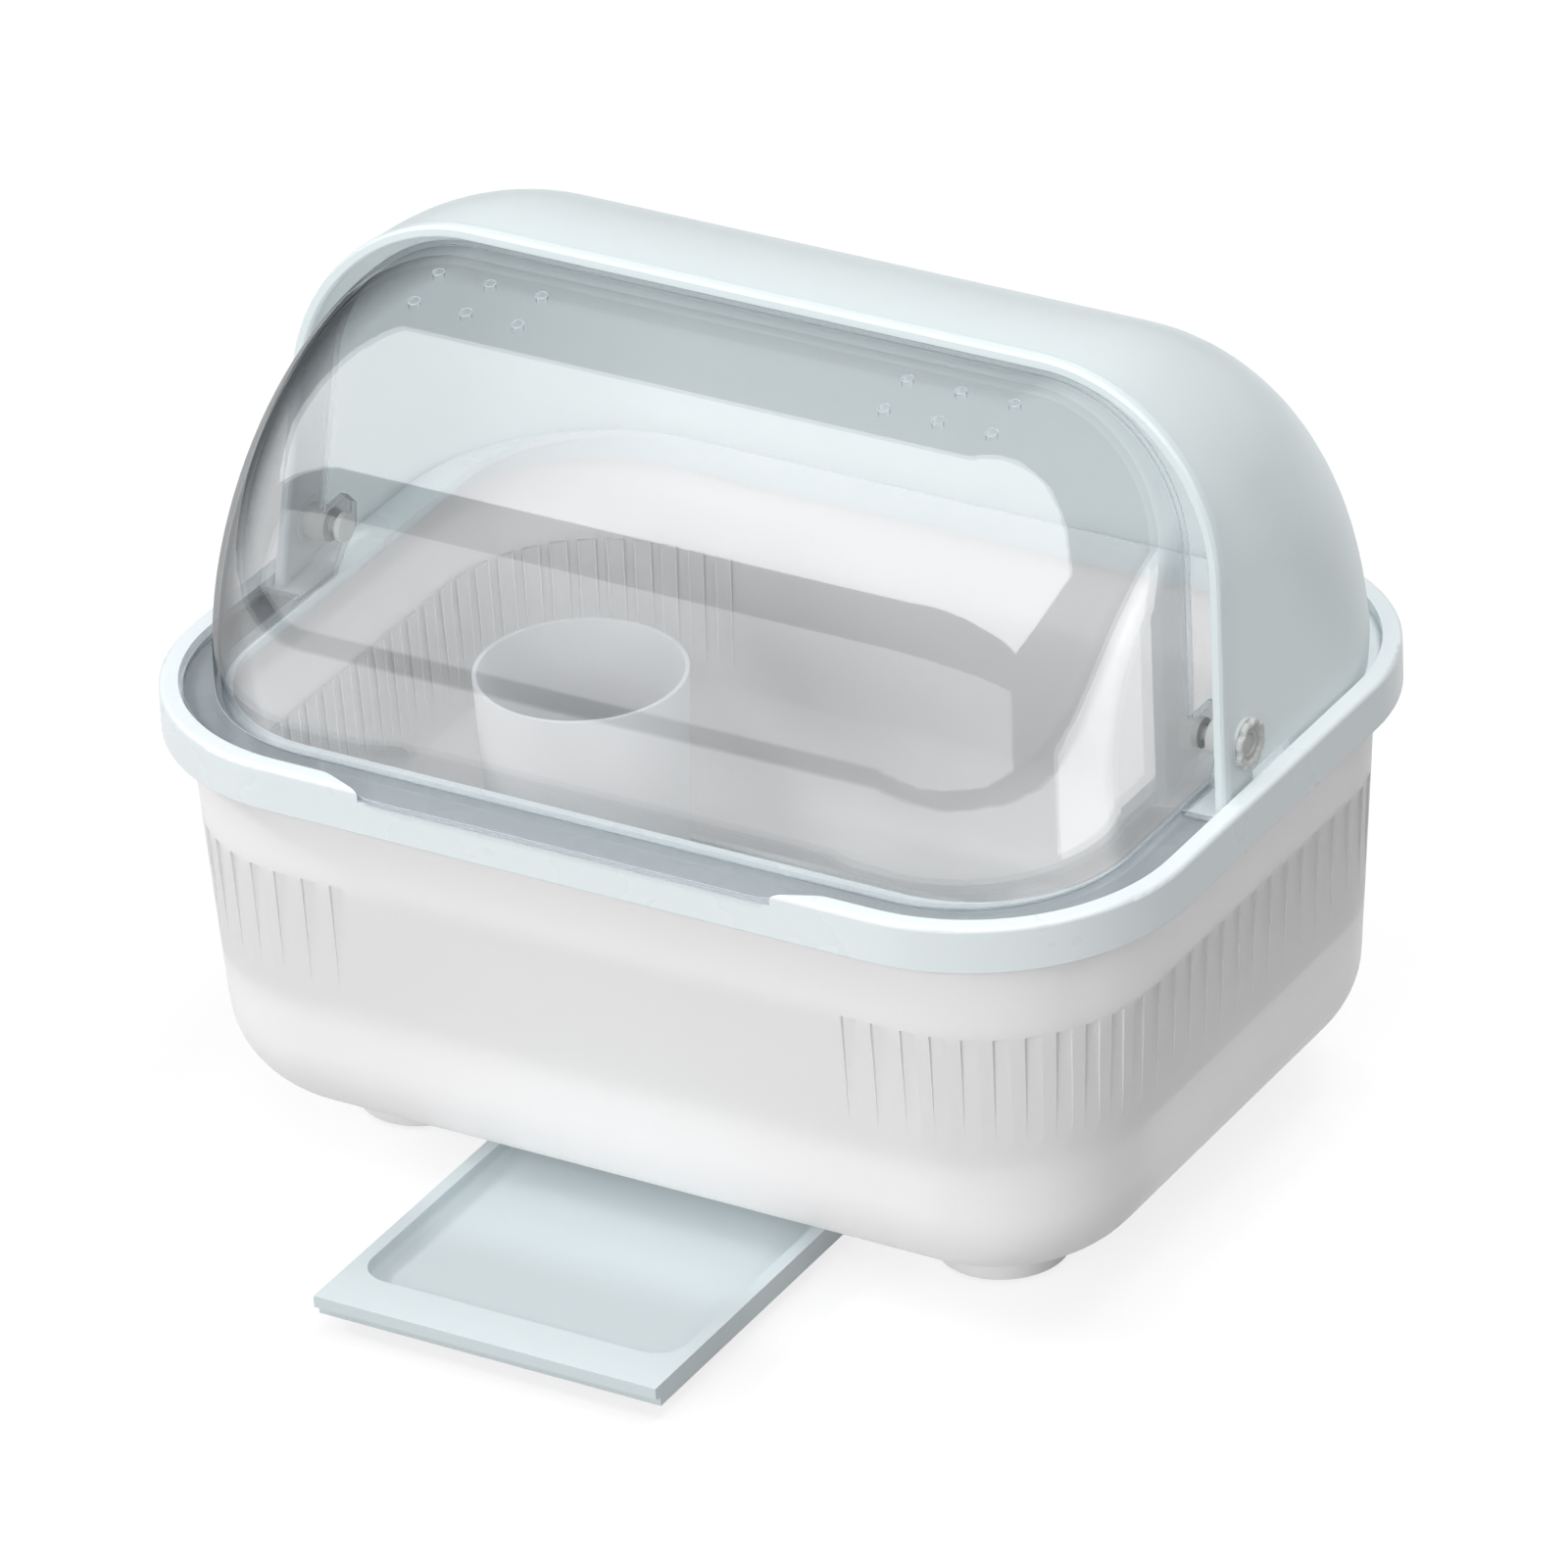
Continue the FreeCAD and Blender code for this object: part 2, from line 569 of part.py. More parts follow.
def rim_frame():
    body = new_body("rim_frame")
    pad(body, "rim_block", rim_ring_sketch(body, "rim_outline", RIM_BOTTOM, "0"), "<rim_height>")
    recess = rim_ring_sketch(body, "rim_recess_outline", RIM_TOP, "<rim_lip_width>")
    pocket(body, "rim_recess", recess, "<rim_height> - <rim_drop> - <rim_plate>")
    opening = new_sketch(body, "rim_opening_outline", "XY", RIM_TOP)
    half = "(%s - <ledge_width_side>)" % LIP_HALF_WIDTH
    low = "(-1 * %s + <ledge_width_front>)" % LIP_HALF_DEPTH
    high = "(%s - <ledge_width_back>)" % LIP_HALF_DEPTH
    add_rounded(opening, half, low, high, "(%s - <ledge_width_side>)" % LIP_CORNER)
    pocket(body, "rim_opening", opening, "<rim_height>")
    fit = "(<tub_wall> + <fit_gap> + <rim_drop> * <tub_draft> / <tub_height>)"
    rib = "(%s + <rim_lip_rib>)" % fit
    channel = rim_ring_sketch(body, "tub_channel_outline", RIM_BOTTOM, "<rim_skin>")
    half = "(<tub_half_width> - %s)" % fit
    deep = "(<tub_half_depth> - %s)" % fit
    add_rounded(channel, half, "-1 * " + deep, deep, "(<tub_corner> - %s)" % fit, "rib")
    pocket(body, "tub_channel", channel, "<rim_drop>", reverse=True)
    under = new_sketch(body, "rim_underside_outline", "XY", RIM_BOTTOM)
    half = "(<tub_half_width> - %s)" % rib
    deep = "(<tub_half_depth> - %s)" % rib
    add_rounded(under, half, "-1 * " + deep, deep, "(<tub_corner> - %s)" % rib)
    pocket(body, "rim_underside", under, "<rim_drop>", reverse=True)
    fillet(body, "rim_outer_round", "<rim_top_round>", outer_rim_edge(RIM_TOP))
    notch = new_sketch(body, "notch_sketch", "XY", RIM_TOP)
    lip_line = "(-1 * %s)" % LIP_HALF_DEPTH
    add_polygon(notch, tab_outline("<notch_gap>", lip_line, "(-1 * <rim_half_depth> - 1)"))
    pocket(body, "notch", notch, "<rim_height> - <rim_drop> - <rim_plate>")
    far = "<tab_half_length> + <tab_flare> + <notch_gap>"
    fillet(body, "notch_round", "<tab_round>", upright_near([far]))
    fillet(body, "rim_skirt_round", "<rim_foot_round>", outer_rim_edge(RIM_BOTTOM))
    return body


def outer_rim_edge(level):
    """Edge test: on the outside of the rim at this height."""
    flat = at_level(level)
    half = value_of("<rim_half_width>")
    deep = value_of("<rim_half_depth>")
    corner = value_of("<rim_corner>")

    def test(edge):
        if not flat(edge):
            return False
        point = edge.valueAt((edge.FirstParameter + edge.LastParameter) / 2)
        x = abs(point.x) - (half - corner)
        y = abs(point.y) - (deep - corner)
        reach = math.hypot(max(x, 0), max(y, 0)) + min(max(x, y), 0)
        return abs(reach - corner) < 0.6
    return test


# Rear hood: a half loaf, open at the front and below, with a bead on its front edge

def lean_sides(body, label, half, level, draft):
    """Cut both sides to planes that lean in; half is the half width at the level."""
    flank = new_sketch(body, label + "_flank", "XZ", "-1 * (<rim_half_depth> + 40)")
    low = "(%s - 150)" % level
    high = "(<hood_top_level> + 30)"
    wide = "(<rim_half_width> + 60)"
    for sign, tag in (("", "right"), ("-1 * ", "left")):
        low_x = "%s(%s + 150 * tan(%s))" % (sign, half, draft)
        high_x = "%s(%s - (%s - %s) * tan(%s))" % (sign, half, high, level, draft)
        corners = [(low_x, low), (sign + wide, low), (sign + wide, high), (high_x, high)]
        add_polygon(flank, corners, tag)
    pocket(body, label + "_sides", flank, "2 * (<rim_half_depth> + 100)", reverse=True)


def end_radii(edge, front_radius, back_radius, top_level):
    """Start and end radius along an edge: one value on the top, the other down the back."""
    start = edge.valueAt(edge.FirstParameter)
    end = edge.valueAt(edge.LastParameter)
    if edge.Orientation == "Reversed":
        start, end = end, start
    return tuple(front_radius if abs(p.z - top_level) < 0.5 else back_radius for p in (start, end))


def dome_body(label, grow, front_shift, foot_shift):
    """Solid hood shape grown outward by an expression, as a body of its own."""
    body = new_body(label)
    side = new_sketch(body, label + "_side", "YZ")
    foot = "(%s - %s)" % (LEDGE_TOP, foot_shift)
    top = "(<hood_top_level> + %s)" % grow
    lean = "tan(<hood_front_tilt>)"
    back_foot = "(%s + %s)" % (HOOD_FOOT_BACK, grow)
    front_low = "(<hood_front_foot> - %s + (%s - %s) * %s)" % (front_shift, foot, RIM_TOP, lean)
    front_high = "(<hood_front_foot> - %s + (%s - %s) * %s)" % (front_shift, top, RIM_TOP, lean)
    back_low = "(%s + (%s - %s) * tan(<hood_back_draft>))" % (back_foot, LEDGE_TOP, foot)
    back_high = "(%s - (%s - %s) * tan(<hood_back_draft>))" % (back_foot, top, LEDGE_TOP)
    add_polygon(side, [(front_low, foot), (back_low, foot), (back_high, top), (front_high, top)])
    pad(body, label + "_block", side, "2 * (<rim_half_width> + 20)", midplane=True)
    top_level = value_of(top)
    back_edge = value_of(back_high)

    def top_back(edge):
        box = edge.BoundBox
        at_top = abs(box.ZMin - top_level) < 0.01
        return at_top and abs(box.YMin - back_edge) < 0.01 and box.XLength > 50
    fillet(body, label + "_back_sweep", "<hood_back_radius> + %s" % grow, top_back)
    lean_sides(body, label, "(%s + %s)" % (HOOD_FOOT_HALF, grow), LEDGE_TOP, "<hood_side_draft>")
    foot_level = value_of(foot)
    tilt = math.tan(math.radians(value_of("<hood_front_tilt>")))
    front_foot = value_of(front_low)
    quarter = value_of("<rim_half_width> / 2")

    def long_edge(edge):
        middle = edge.valueAt((edge.FirstParameter + edge.LastParameter) / 2)
        box = edge.BoundBox
        flat = box.ZMax - foot_level < 0.01
        front = abs(middle.y - front_foot - (middle.z - foot_level) * tilt) < 0.05
        crosswise = box.XLength > quarter
        return not (flat or front or crosswise)
    rounded = doc.addObject("Part::Fillet", label + "_edges")
    rounded.Base = body
    front_radius = value_of("<hood_edge_radius> + %s" % grow)
    back_radius = value_of("<hood_corner_radius> + %s" % grow)
    rounded.Edges = [(i + 1,) + end_radii(edge, front_radius, back_radius, top_level)
                     for i, edge in enumerate(body.Shape.Edges) if long_edge(edge)]
    doc.recompute()
    return rounded


def front_slab(label, depth):
    """Slab behind the leaning front plane of the hood, as thick as the bead is deep."""
    body = new_body(label)
    side = new_sketch(body, label + "_side", "YZ")
    lean = "tan(<hood_front_tilt>)"
    low = "(%s - 10)" % LEDGE_TOP
    high = "(<hood_top_level> + 20)"
    front_low = "(<hood_front_foot> + (%s - %s) * %s)" % (low, RIM_TOP, lean)
    front_high = "(<hood_front_foot> + (%s - %s) * %s)" % (high, RIM_TOP, lean)
    thick = "%s / cos(<hood_front_tilt>)" % depth
    corners = [
        (front_low, low),
        (front_low + " + " + thick, low),
        (front_high + " + " + thick, high),
        (front_high, high),
    ]
    add_polygon(side, corners)
    pad(body, label + "_block", side, "2 * (<rim_half_width> + 30)", midplane=True)
    return body


def foot_slots():
    """Bar that cuts a short slot into the foot of both hood sides."""
    body = new_body("foot_slot_bar")
    sketch = new_sketch(body, "foot_slot_sketch", "YZ")
    low = "(%s - 1)" % LEDGE_TOP
    high = "(%s + <foot_slot_rise>)" % RIM_TOP
    add_polygon(sketch, [("<foot_slot_front>", low), ("<foot_slot_back>", low),
                         ("<foot_slot_back>", high), ("<foot_slot_front>", high)])
    pad(body, "foot_slot_block", sketch, "2 * (<rim_half_width> + 10)", midplane=True)
    return body


def rear_hood():
    outside = dome_body("hood_outside", "0", "0", "0")
    inside = dome_body("hood_inside", "(-1 * <hood_wall>)", "20", "20")
    skin = boolean("Cut", "hood_skin", outside, inside)
    bead_out = dome_body("bead_outside", "<bead_proud>", "10", "0")
    bead_in = dome_body("bead_inside", "(-1 * <bead_inset>)", "30", "20")
    bead_ring = boolean("Cut", "bead_ring", bead_out, bead_in)
    bead = boolean("Common", "bead", bead_ring, front_slab("bead_slab", "<bead_depth>"))
    rounded = doc.addObject("Part::Fillet", "bead_round")
    rounded.Label = "bead_round"
    rounded.Base = bead
    radius = value_of("<bead_round>")
    low = value_of(LEDGE_TOP)
    edges = []
    for i, edge in enumerate(bead.Shape.Edges):
        box = edge.BoundBox
        across = box.YLength > value_of("<bead_depth>") * 0.8 and box.XLength < 12 and box.ZLength < 12
        if box.ZMax - low > 0.01 and not across:
            edges.append((i + 1, radius, radius))
    rounded.Edges = edges
    doc.recompute()
    seats = []
    for side, name in ((1, "right"), (-1, "left")):
        start = mirrored_start(side, BUSH_OUTER_FACE, BOSS_FACE)
        length = "%s - %s" % (BOSS_FACE, BUSH_OUTER_FACE)
        seats.append(side_cylinder("cap_seat_" + name, "<boss_radius>", start, length))
    bores = []
    for side, name in ((1, "right"), (-1, "left")):
        start = mirrored_start(side, "(%s - 5)" % BUSH_OUTER_FACE, "(%s + 5)" % BOSS_FACE)
        length = "%s - %s + 10" % (BOSS_FACE, BUSH_OUTER_FACE)
        bores.append(side_cylinder("hood_bore_" + name, "<pin_diameter> / 2", start, length))
    joined = doc.addObject("Part::MultiFuse", "hood_with_bead")
    joined.Label = "hood_with_bead"
    joined.Shapes = [skin, rounded] + seats
    doc.recompute()
    bored_right = boolean("Cut", "hood_bored_right", joined, bores[0])
    bored = boolean("Cut", "hood_bored", bored_right, bores[1])
    return boolean("Cut", "rear_hood", bored, foot_slots())


# Clear lid: a quarter drum shell about the hinge axis, with a flange and a hand tab

def lid_drum(label, inward):
    """Solid drum about the hinge axis with leaning cheeks and rounded ends."""
    body = new_body(label)
    sketch = new_sketch(body, label + "_circle", "YZ")
    add_circle(sketch, "<pin_back>", "<pin_level>", "(<lid_radius> - %s)" % inward)
    pad(body, label + "_drum", sketch, "2 * (<rim_half_width> + 20)", midplane=True)
    lean_sides(body, label, "(<lid_half_width> - %s)" % inward, "<pin_level>", "<lid_draft>")

    def end_edge(edge):
        return edge.BoundBox.XLength < 30 and edge.BoundBox.ZLength > 50
    fillet(body, label + "_ends", "<lid_edge_radius> - %s" % inward, end_edge)
    return body


def lid_plate():
    """Flange and hand tab in one plate, ending in front of the hood bead."""
    body = new_body("lid_plate")
    sketch = new_sketch(body, "flange_outline", "XY", FLANGE_BOTTOM)
    half = "(%s - <lid_flange_gap>)" % LIP_HALF_WIDTH
    deep = "(%s - <lid_flange_gap>)" % LIP_HALF_DEPTH
    corner = "(%s - <lid_flange_gap>)" % LIP_CORNER
    add_rounded(sketch, half, "-1 * " + deep, deep, corner)
    pad(body, "flange", sketch, "<lid_flange>")
    tab = new_sketch(body, "tab_sketch", "XY", FLANGE_BOTTOM)
    add_polygon(tab, tab_outline("0", "(-1 * %s)" % deep, "(-1 * <rim_half_depth> - <tab_proud>)"))
    pad(body, "tab", tab, "<lid_flange>")
    near = "<tab_half_length>"
    fillet(body, "tab_bends", "<tab_round>", upright_near([near, near + " + <tab_flare>"]))
    ends = new_sketch(body, "flange_end_sketch", "XY", FLANGE_BOTTOM)
    wide = "(<rim_half_width> + 10)"
    front = "(<hood_front_foot> - <flange_end_gap>)"
    corners = [("-1 * " + wide, front), (wide, front),
               (wide, "<rim_half_depth>"), ("-1 * " + wide, "<rim_half_depth>")]
    add_polygon(ends, corners)
    pocket(body, "flange_ends", ends, "<lid_flange> + 2", reverse=True)
    return body


def lid_extent():
    """Block that keeps the drum in front of the hood edge, with an ear at the pin."""
    body = new_body("lid_extent")
    sketch = new_sketch(body, "lid_extent_sketch", "YZ")
    lean = "tan(<hood_front_tilt>)"

    def tuck_line(level):
        return "(<hood_front_foot> + <lid_tuck> + (%s - %s) * %s)" % (level, RIM_TOP, lean)

    top = "(<pin_level> + <lid_radius> + 5)"
    front = "(-1 * <rim_half_depth> - 15)"
    short = "(<lid_ear> * 0.4142)"
    ear_top = "(<pin_level> + <lid_ear>)"
    corners = [
        (front, FLANGE_BOTTOM),
        ("<pin_back> - 2", FLANGE_BOTTOM),
        ("<pin_back> + " + short, "<pin_level> - <lid_ear>"),
        ("<pin_back> + <lid_ear>", "<pin_level> - " + short),
        ("<pin_back> + <lid_ear>", "<pin_level> + " + short),
        ("<pin_back> + " + short, ear_top),
        (tuck_line(ear_top), ear_top),
        (tuck_line(top), top),
        (front, top),
    ]
    add_polygon(sketch, corners)
    pad(body, "lid_extent_block", sketch, "2 * (<rim_half_width> + 10)", midplane=True)
    return body


def lid_bores():
    """Rods for the vent holes and for the running fit on the hinge pins."""
    vents = new_body("vent_rods")
    sketch = new_sketch(vents, "vent_sketch", "XY", "<pin_level> + <lid_radius> * 0.5")
    for side in (1, -1):
        for step in (-1, 0, 1):
            for row in ("<vent_row_front>", "<vent_row_back>"):
                across = "%d * (<vent_centre> + %d * <vent_pitch>)" % (side, step)
                tag = "vent%d" % sketch.GeometryCount
                add_circle(sketch, across, row, "<vent_diameter> / 2", tag)
    pad(vents, "vent_pads", sketch, "<lid_radius>")
    running = "<pin_diameter> / 2 + <pin_play>"
    rod = side_cylinder("pin_hole_rod", running, "-1 * <rim_half_width>", "2 * <rim_half_width>")
    return boolean("Fuse", "lid_bores", vents, rod)


def clear_lid():
    outside = lid_drum("lid_outside", "0")
    hollow = boolean("Cut", "lid_hollow", outside, lid_drum("lid_inside", "<lid_wall>"))
    cover = boolean("Common", "lid_cover", hollow, lid_extent())
    mid_wall = lid_drum("lid_mid_wall", "(<lid_wall> / 2)")
    flange = boolean("Cut", "lid_flange_ring", lid_plate(), mid_wall)
    whole = boolean("Fuse", "lid_unbored", cover, flange)
    return boolean("Cut", "clear_lid", whole, lid_bores())


# Hinges: on each side a pin, a lobed cap outside, a bush between and a ring inside

LID_EAR_OUTER = "(<lid_half_width> + <bush_diameter> / 2 * tan(<lid_draft>))"
LID_EAR_INNER = "(<lid_half_width> - <lid_wall> - <ring_diameter> / 2 * tan(<lid_draft>))"


def hinge_parts(side, name):
    ring_far = "(%s - <hinge_play>)" % LID_EAR_INNER
    ring_near = "(%s - <ring_width>)" % ring_far
    bush_near = "(%s + <hinge_play>)" % LID_EAR_OUTER
    cap_far = "(%s + <cap_thickness>)" % BOSS_FACE
    pin_far = "(%s - <cap_thickness> * 0.6)" % cap_far
    shank = "(<pin_diameter> / 2)"

    pin = side_cylinder("hinge_pin_" + name, shank, mirrored_start(side, ring_near, pin_far),
                        "%s - %s" % (pin_far, ring_near))

    def sleeve(label, radius, near, far):
        length = "%s - %s" % (far, near)
        outer = side_cylinder(label + "_solid", radius, mirrored_start(side, near, far), length)
        start = mirrored_start(side, "(%s - 1)" % near, "(%s + 1)" % far)
        bore = side_cylinder(label + "_bore", shank, start, "%s - %s + 2" % (far, near))
        return boolean("Cut", label, outer, bore)

    bush = sleeve("hinge_bush_" + name, "<bush_diameter> / 2", bush_near, BUSH_OUTER_FACE)
    ring = sleeve("pin_ring_" + name, "<ring_diameter> / 2", ring_near, ring_far)
    cap = hinge_cap(side, name, cap_far, pin_far)
    return [pin, bush, ring, cap]


def hinge_cap(side, name, cap_far, pin_far):
    """Scalloped disc with a dimple in its face and a blind bore for the pin."""
    body = new_body("hinge_cap_" + name)
    face = BOSS_FACE if side == 1 else "(-1 * %s)" % cap_far
    sketch = new_sketch(body, "cap_disc_" + name, "YZ", face)
    add_circle(sketch, "<pin_back>", "<pin_level>", "<cap_radius>")
    pad(body, "cap_pad_" + name, sketch, "<cap_thickness>")
    scallop = new_sketch(body, "cap_scallop_" + name, "YZ", face)
    bite = "(<cap_radius> * 0.42)"
    reach = "(<cap_radius> + %s - <cap_lobe>)" % bite
    add_circle(scallop, "<pin_back>", "<pin_level> + " + reach, bite)
    cut = pocket(body, "cap_scallop_cut_" + name, scallop, "<cap_thickness>", reverse=True)
    around = body.newObject("PartDesign::PolarPattern", "cap_scallops_" + name)
    around.Originals = [cut]
    around.Axis = (disc_axis(body, name), [""])
    around.Angle = 360
    around.Occurrences = 8
    body.Tip = around
    doc.recompute()
    outer_face = cap_far if side == 1 else "(-1 * %s)" % cap_far
    dimple = new_sketch(body, "cap_dimple_" + name, "YZ", outer_face)
    add_circle(dimple, "<pin_back>", "<pin_level>", "<cap_dimple>")
    pocket(body, "cap_dimple_cut_" + name, dimple, "<cap_dimple_depth>", reverse=(side == -1))
    inner_face = BOSS_FACE if side == 1 else "(-1 * %s)" % BOSS_FACE
    bore = new_sketch(body, "cap_bore_" + name, "YZ", inner_face)
    add_circle(bore, "<pin_back>", "<pin_level>", "<pin_diameter> / 2")
    pocket(body, "cap_bore_cut_" + name, bore, "%s - %s" % (pin_far, BOSS_FACE), reverse=(side == 1))
    return body


def disc_axis(body, name):
    """Datum line along the hinge axis, for the ring of scallops."""
    line = body.newObject("PartDesign::Line", "cap_line_" + name)
    line.Placement = Placement(Vector(0, value_of("<pin_back>"), value_of("<pin_level>")),
                               Rotation(Vector(0, 1, 0), 90))
    bind(line, "Placement.Base.y", "<pin_back>")
    bind(line, "Placement.Base.z", "<pin_level>")
    return line


# Drain board: a slotted plate with a raised edge on four legs

def drain_board():
    body = new_body("drain_board")
    deep = "<board_half_depth>"
    plate = new_sketch(body, "board_outline", "XY", BOARD_TOP)
    add_rounded(plate, "<board_half_width>", "-1 * " + deep, deep, "<board_corner>")
    pad(body, "board_block", plate, "<board_edge>")
    skin = new_sketch(body, "board_plate_outline", "XY", BOARD_TOP)
    add_rounded(skin, "<board_half_width>", "-1 * " + deep, deep, "<board_corner>")
    pad(body, "board_plate", skin, "<board_plate>", reverse=True)
    inside = new_sketch(body, "board_dish_outline", "XY", "%s + <board_edge>" % BOARD_TOP)
    edge = "<board_plate>"
    add_rounded(inside, "(<board_half_width> - %s)" % edge, "-1 * (%s - %s)" % (deep, edge),
                "(%s - %s)" % (deep, edge), "(<board_corner> - %s)" % edge)
    pocket(body, "board_dish", inside, "<board_edge>")
    legs = new_sketch(body, "board_leg_sketch", "XY", TUB_INNER_FLOOR)
    for i, (sx, sy) in enumerate(((1, 1), (1, -1), (-1, 1), (-1, -1))):
        x = "%d * (<board_half_width> - <board_corner>)" % sx
        y = "%d * (<board_half_depth> - <board_corner>)" % sy
        add_circle(legs, x, y, "<board_leg_radius>", "leg%d" % i)
    pad(body, "board_legs", legs, "<board_leg> - <board_plate> * 0.5")
    slot = new_sketch(body, "board_slot_sketch", "XY", BOARD_TOP)
    reach = value_of("<board_half_width>") - value_of("<board_corner>")
    count = int(reach / value_of("<slot_pitch>"))
    first = "(-%d * <slot_pitch>)" % count
    outer = "(<board_half_depth> - <board_corner> * 0.35)"
    inner = "(%s - <slot_length>)" % outer
    round_end = "(<slot_width> * 0.49)"
    half = "(<slot_width> / 2)"
    add_rounded(slot, half, inner, outer, round_end, "back", first)
    add_rounded(slot, half, "-1 * " + outer, "-1 * " + inner, round_end, "front", first)
    pair = pocket(body, "board_slot_pair", slot, "<board_plate>")
    row = body.newObject("PartDesign::LinearPattern", "board_slots")
    row.Originals = [pair]
    row.Direction = (slot, ["H_Axis"])
    bind(row, "Length", "%d * <slot_pitch>" % (2 * count))
    row.Occurrences = 2 * count + 1
    body.Tip = row
    doc.recompute()
    return body


# Cutlery cup: a tapered cup with a drained floor, standing on the drain board

def cutlery_cup():
    body = new_body("cutlery_cup")
    height = "(<cup_top_level> - %s)" % BOARD_TOP

    def turned(kind, label, low, low_radius, high_radius):
        """Turn a cone about the cup axis, from a level up to the lip."""
        sketch = new_sketch(body, label + "_section", "XZ", "-1 * <cup_back>")
        axis = "<cup_across>"
        corners = [(axis, low), ("%s + %s" % (axis, low_radius), low),
                   ("%s + %s" % (axis, high_radius), "<cup_top_level>"), (axis, "<cup_top_level>")]
        add_polygon(sketch, corners)
        feature = body.newObject("PartDesign::" + kind, label)
        feature.Profile = sketch
        feature.ReferenceAxis = (sketch, ["Edge4"])
        feature.Angle = 360
        body.Tip = feature
        doc.recompute()

    turned("Revolution", "cup_outside", BOARD_TOP, "<cup_foot_radius>", "<cup_top_radius>")
    fillet(body, "cup_foot_rounding", "<cup_foot_round>", at_level(BOARD_TOP))
    slope = "(<cup_top_radius> - <cup_foot_radius>) / %s" % height
    inner_foot = "(<cup_foot_radius> + %s * <cup_wall> - <cup_wall>)" % slope
    inner_lip = "(<cup_top_radius> - <cup_wall>)"
    turned("Groove", "cup_inside", "%s + <cup_wall>" % BOARD_TOP, inner_foot, inner_lip)
    holes = new_sketch(body, "cup_hole_sketch", "XY", BOARD_TOP)
    for i in range(6):
        angle = "%d * 60 deg" % i
        x = "<cup_across> + <cup_foot_radius> * 0.55 * cos(%s)" % angle
        y = "<cup_back> + <cup_foot_radius> * 0.55 * sin(%s)" % angle
        add_circle(holes, x, y, "<cup_hole_diameter> / 2", "hole%d" % i)
    pocket(body, "cup_holes", holes, "<cup_wall>", reverse=True)
    return body


# Drip tray: a drawer with a basin and a stepped front lip

def drip_tray():
    body = new_body("drip_tray")
    half = "<tray_half_width>"
    front = "<tray_front>"
    back = "(<tray_front> + <tray_length>)"
    block = new_sketch(body, "tray_outline", "XY", TRAY_BOTTOM)
    lower_front = "(<tray_front> + <tray_lip_set_back>)"
    left = "-1 * " + half
    add_polygon(block, [(left, lower_front), (half, lower_front), (half, back), (left, back)])
    pad(body, "tray_block", block, "<tray_height>")
    lip = new_sketch(body, "tray_lip_outline", "XY", "<tray_top_level>")
    add_polygon(lip, [(left, front), (half, front), (half, lower_front), (left, lower_front)])
    pad(body, "tray_lip", lip, "<tray_height> - <tray_lip_height>", reverse=True)
    basin = new_sketch(body, "tray_basin_outline", "XY", "<tray_top_level>")
    inner = "(<tray_half_width> - <tray_side_border>)"
    low = "(<tray_front> + <tray_front_border>)"
    high = "(<tray_front> + <tray_length> - <tray_side_border>)"
    add_rounded(basin, inner, low, high, "<tray_basin_corner>")
    pocket(body, "tray_basin", basin, "<tray_basin_depth>")
    floor_level = "<tray_top_level> - <tray_basin_depth>"
    fillet(body, "tray_basin_rounding", "<tray_basin_round>", at_level(floor_level))
    return body


# Tray runners: angle rails under the tub that carry the tray's edges

def tray_runner(side, name):
    body = new_body("tray_runner_" + name)
    sketch = new_sketch(body, "runner_section_" + name, "XZ", "-1 * <runner_front>")
    sign = "" if side == 1 else "-1 * "
    inner = "(<tray_half_width> + <runner_play>)"
    outer = "(<tray_half_width> + <runner_play> + <runner_wall>)"
    tip = "(<tray_half_width> - <runner_ledge>)"
    flange = "(%s + <runner_ledge>)" % outer
    ledge_top = "(%s - <tray_seat_gap>)" % TRAY_BOTTOM
    ledge_low = "(%s - <runner_wall>)" % ledge_top
    top = "<tub_floor_level>"
    corners = [
        (sign + tip, ledge_low),
        (sign + outer, ledge_low),
        (sign + outer, "%s - <runner_wall>" % top),
        (sign + flange, "%s - <runner_wall>" % top),
        (sign + flange, top),
        (sign + inner, top),
        (sign + inner, ledge_top),
        (sign + tip, ledge_top),
    ]
    add_polygon(sketch, corners)
    pad(body, "runner_" + name, sketch, "<runner_length>", reverse=True)
    return body


# Feet: tapered plastic feet with a rubber pad let into each

FOOT_PLACES = (
    ("front_left", -1, -1),
    ("front_right", 1, -1),
    ("rear_left", -1, 1),
    ("rear_right", 1, 1),
)


def place_round(item, sx, sy, level):
    item.Placement = Placement(Vector(0, 0, value_of(level)), Rotation())
    bind(item, "Placement.Base.x", "%d * <foot_across>" % sx)
    bind(item, "Placement.Base.y", "%d * <foot_back>" % sy)
    bind(item, "Placement.Base.z", level)


def foot_and_pad(name, sx, sy):
    cone = doc.addObject("Part::Cone", "foot_cone_" + name)
    bind(cone, "Radius1", "<foot_base_radius>")
    bind(cone, "Radius2", "<foot_top_radius>")
    bind(cone, "Height", "<tub_floor_level> - <pad_proud>")
    place_round(cone, sx, sy, "<pad_proud>")
    seat = doc.addObject("Part::Cylinder", "pad_seat_" + name)
    bind(seat, "Radius", "<pad_radius>")
    bind(seat, "Height", "<pad_height>")
    place_round(seat, sx, sy, "0")
    foot = boolean("Cut", "foot_" + name, cone, seat)
    rubber = doc.addObject("Part::Cylinder", "foot_pad_" + name)
    rubber.Label = "foot_pad_" + name
    bind(rubber, "Radius", "<pad_radius>")
    bind(rubber, "Height", "<pad_height>")
    place_round(rubber, sx, sy, "0")
    return [foot, rubber]


# Build every piece, check it and write one file per node

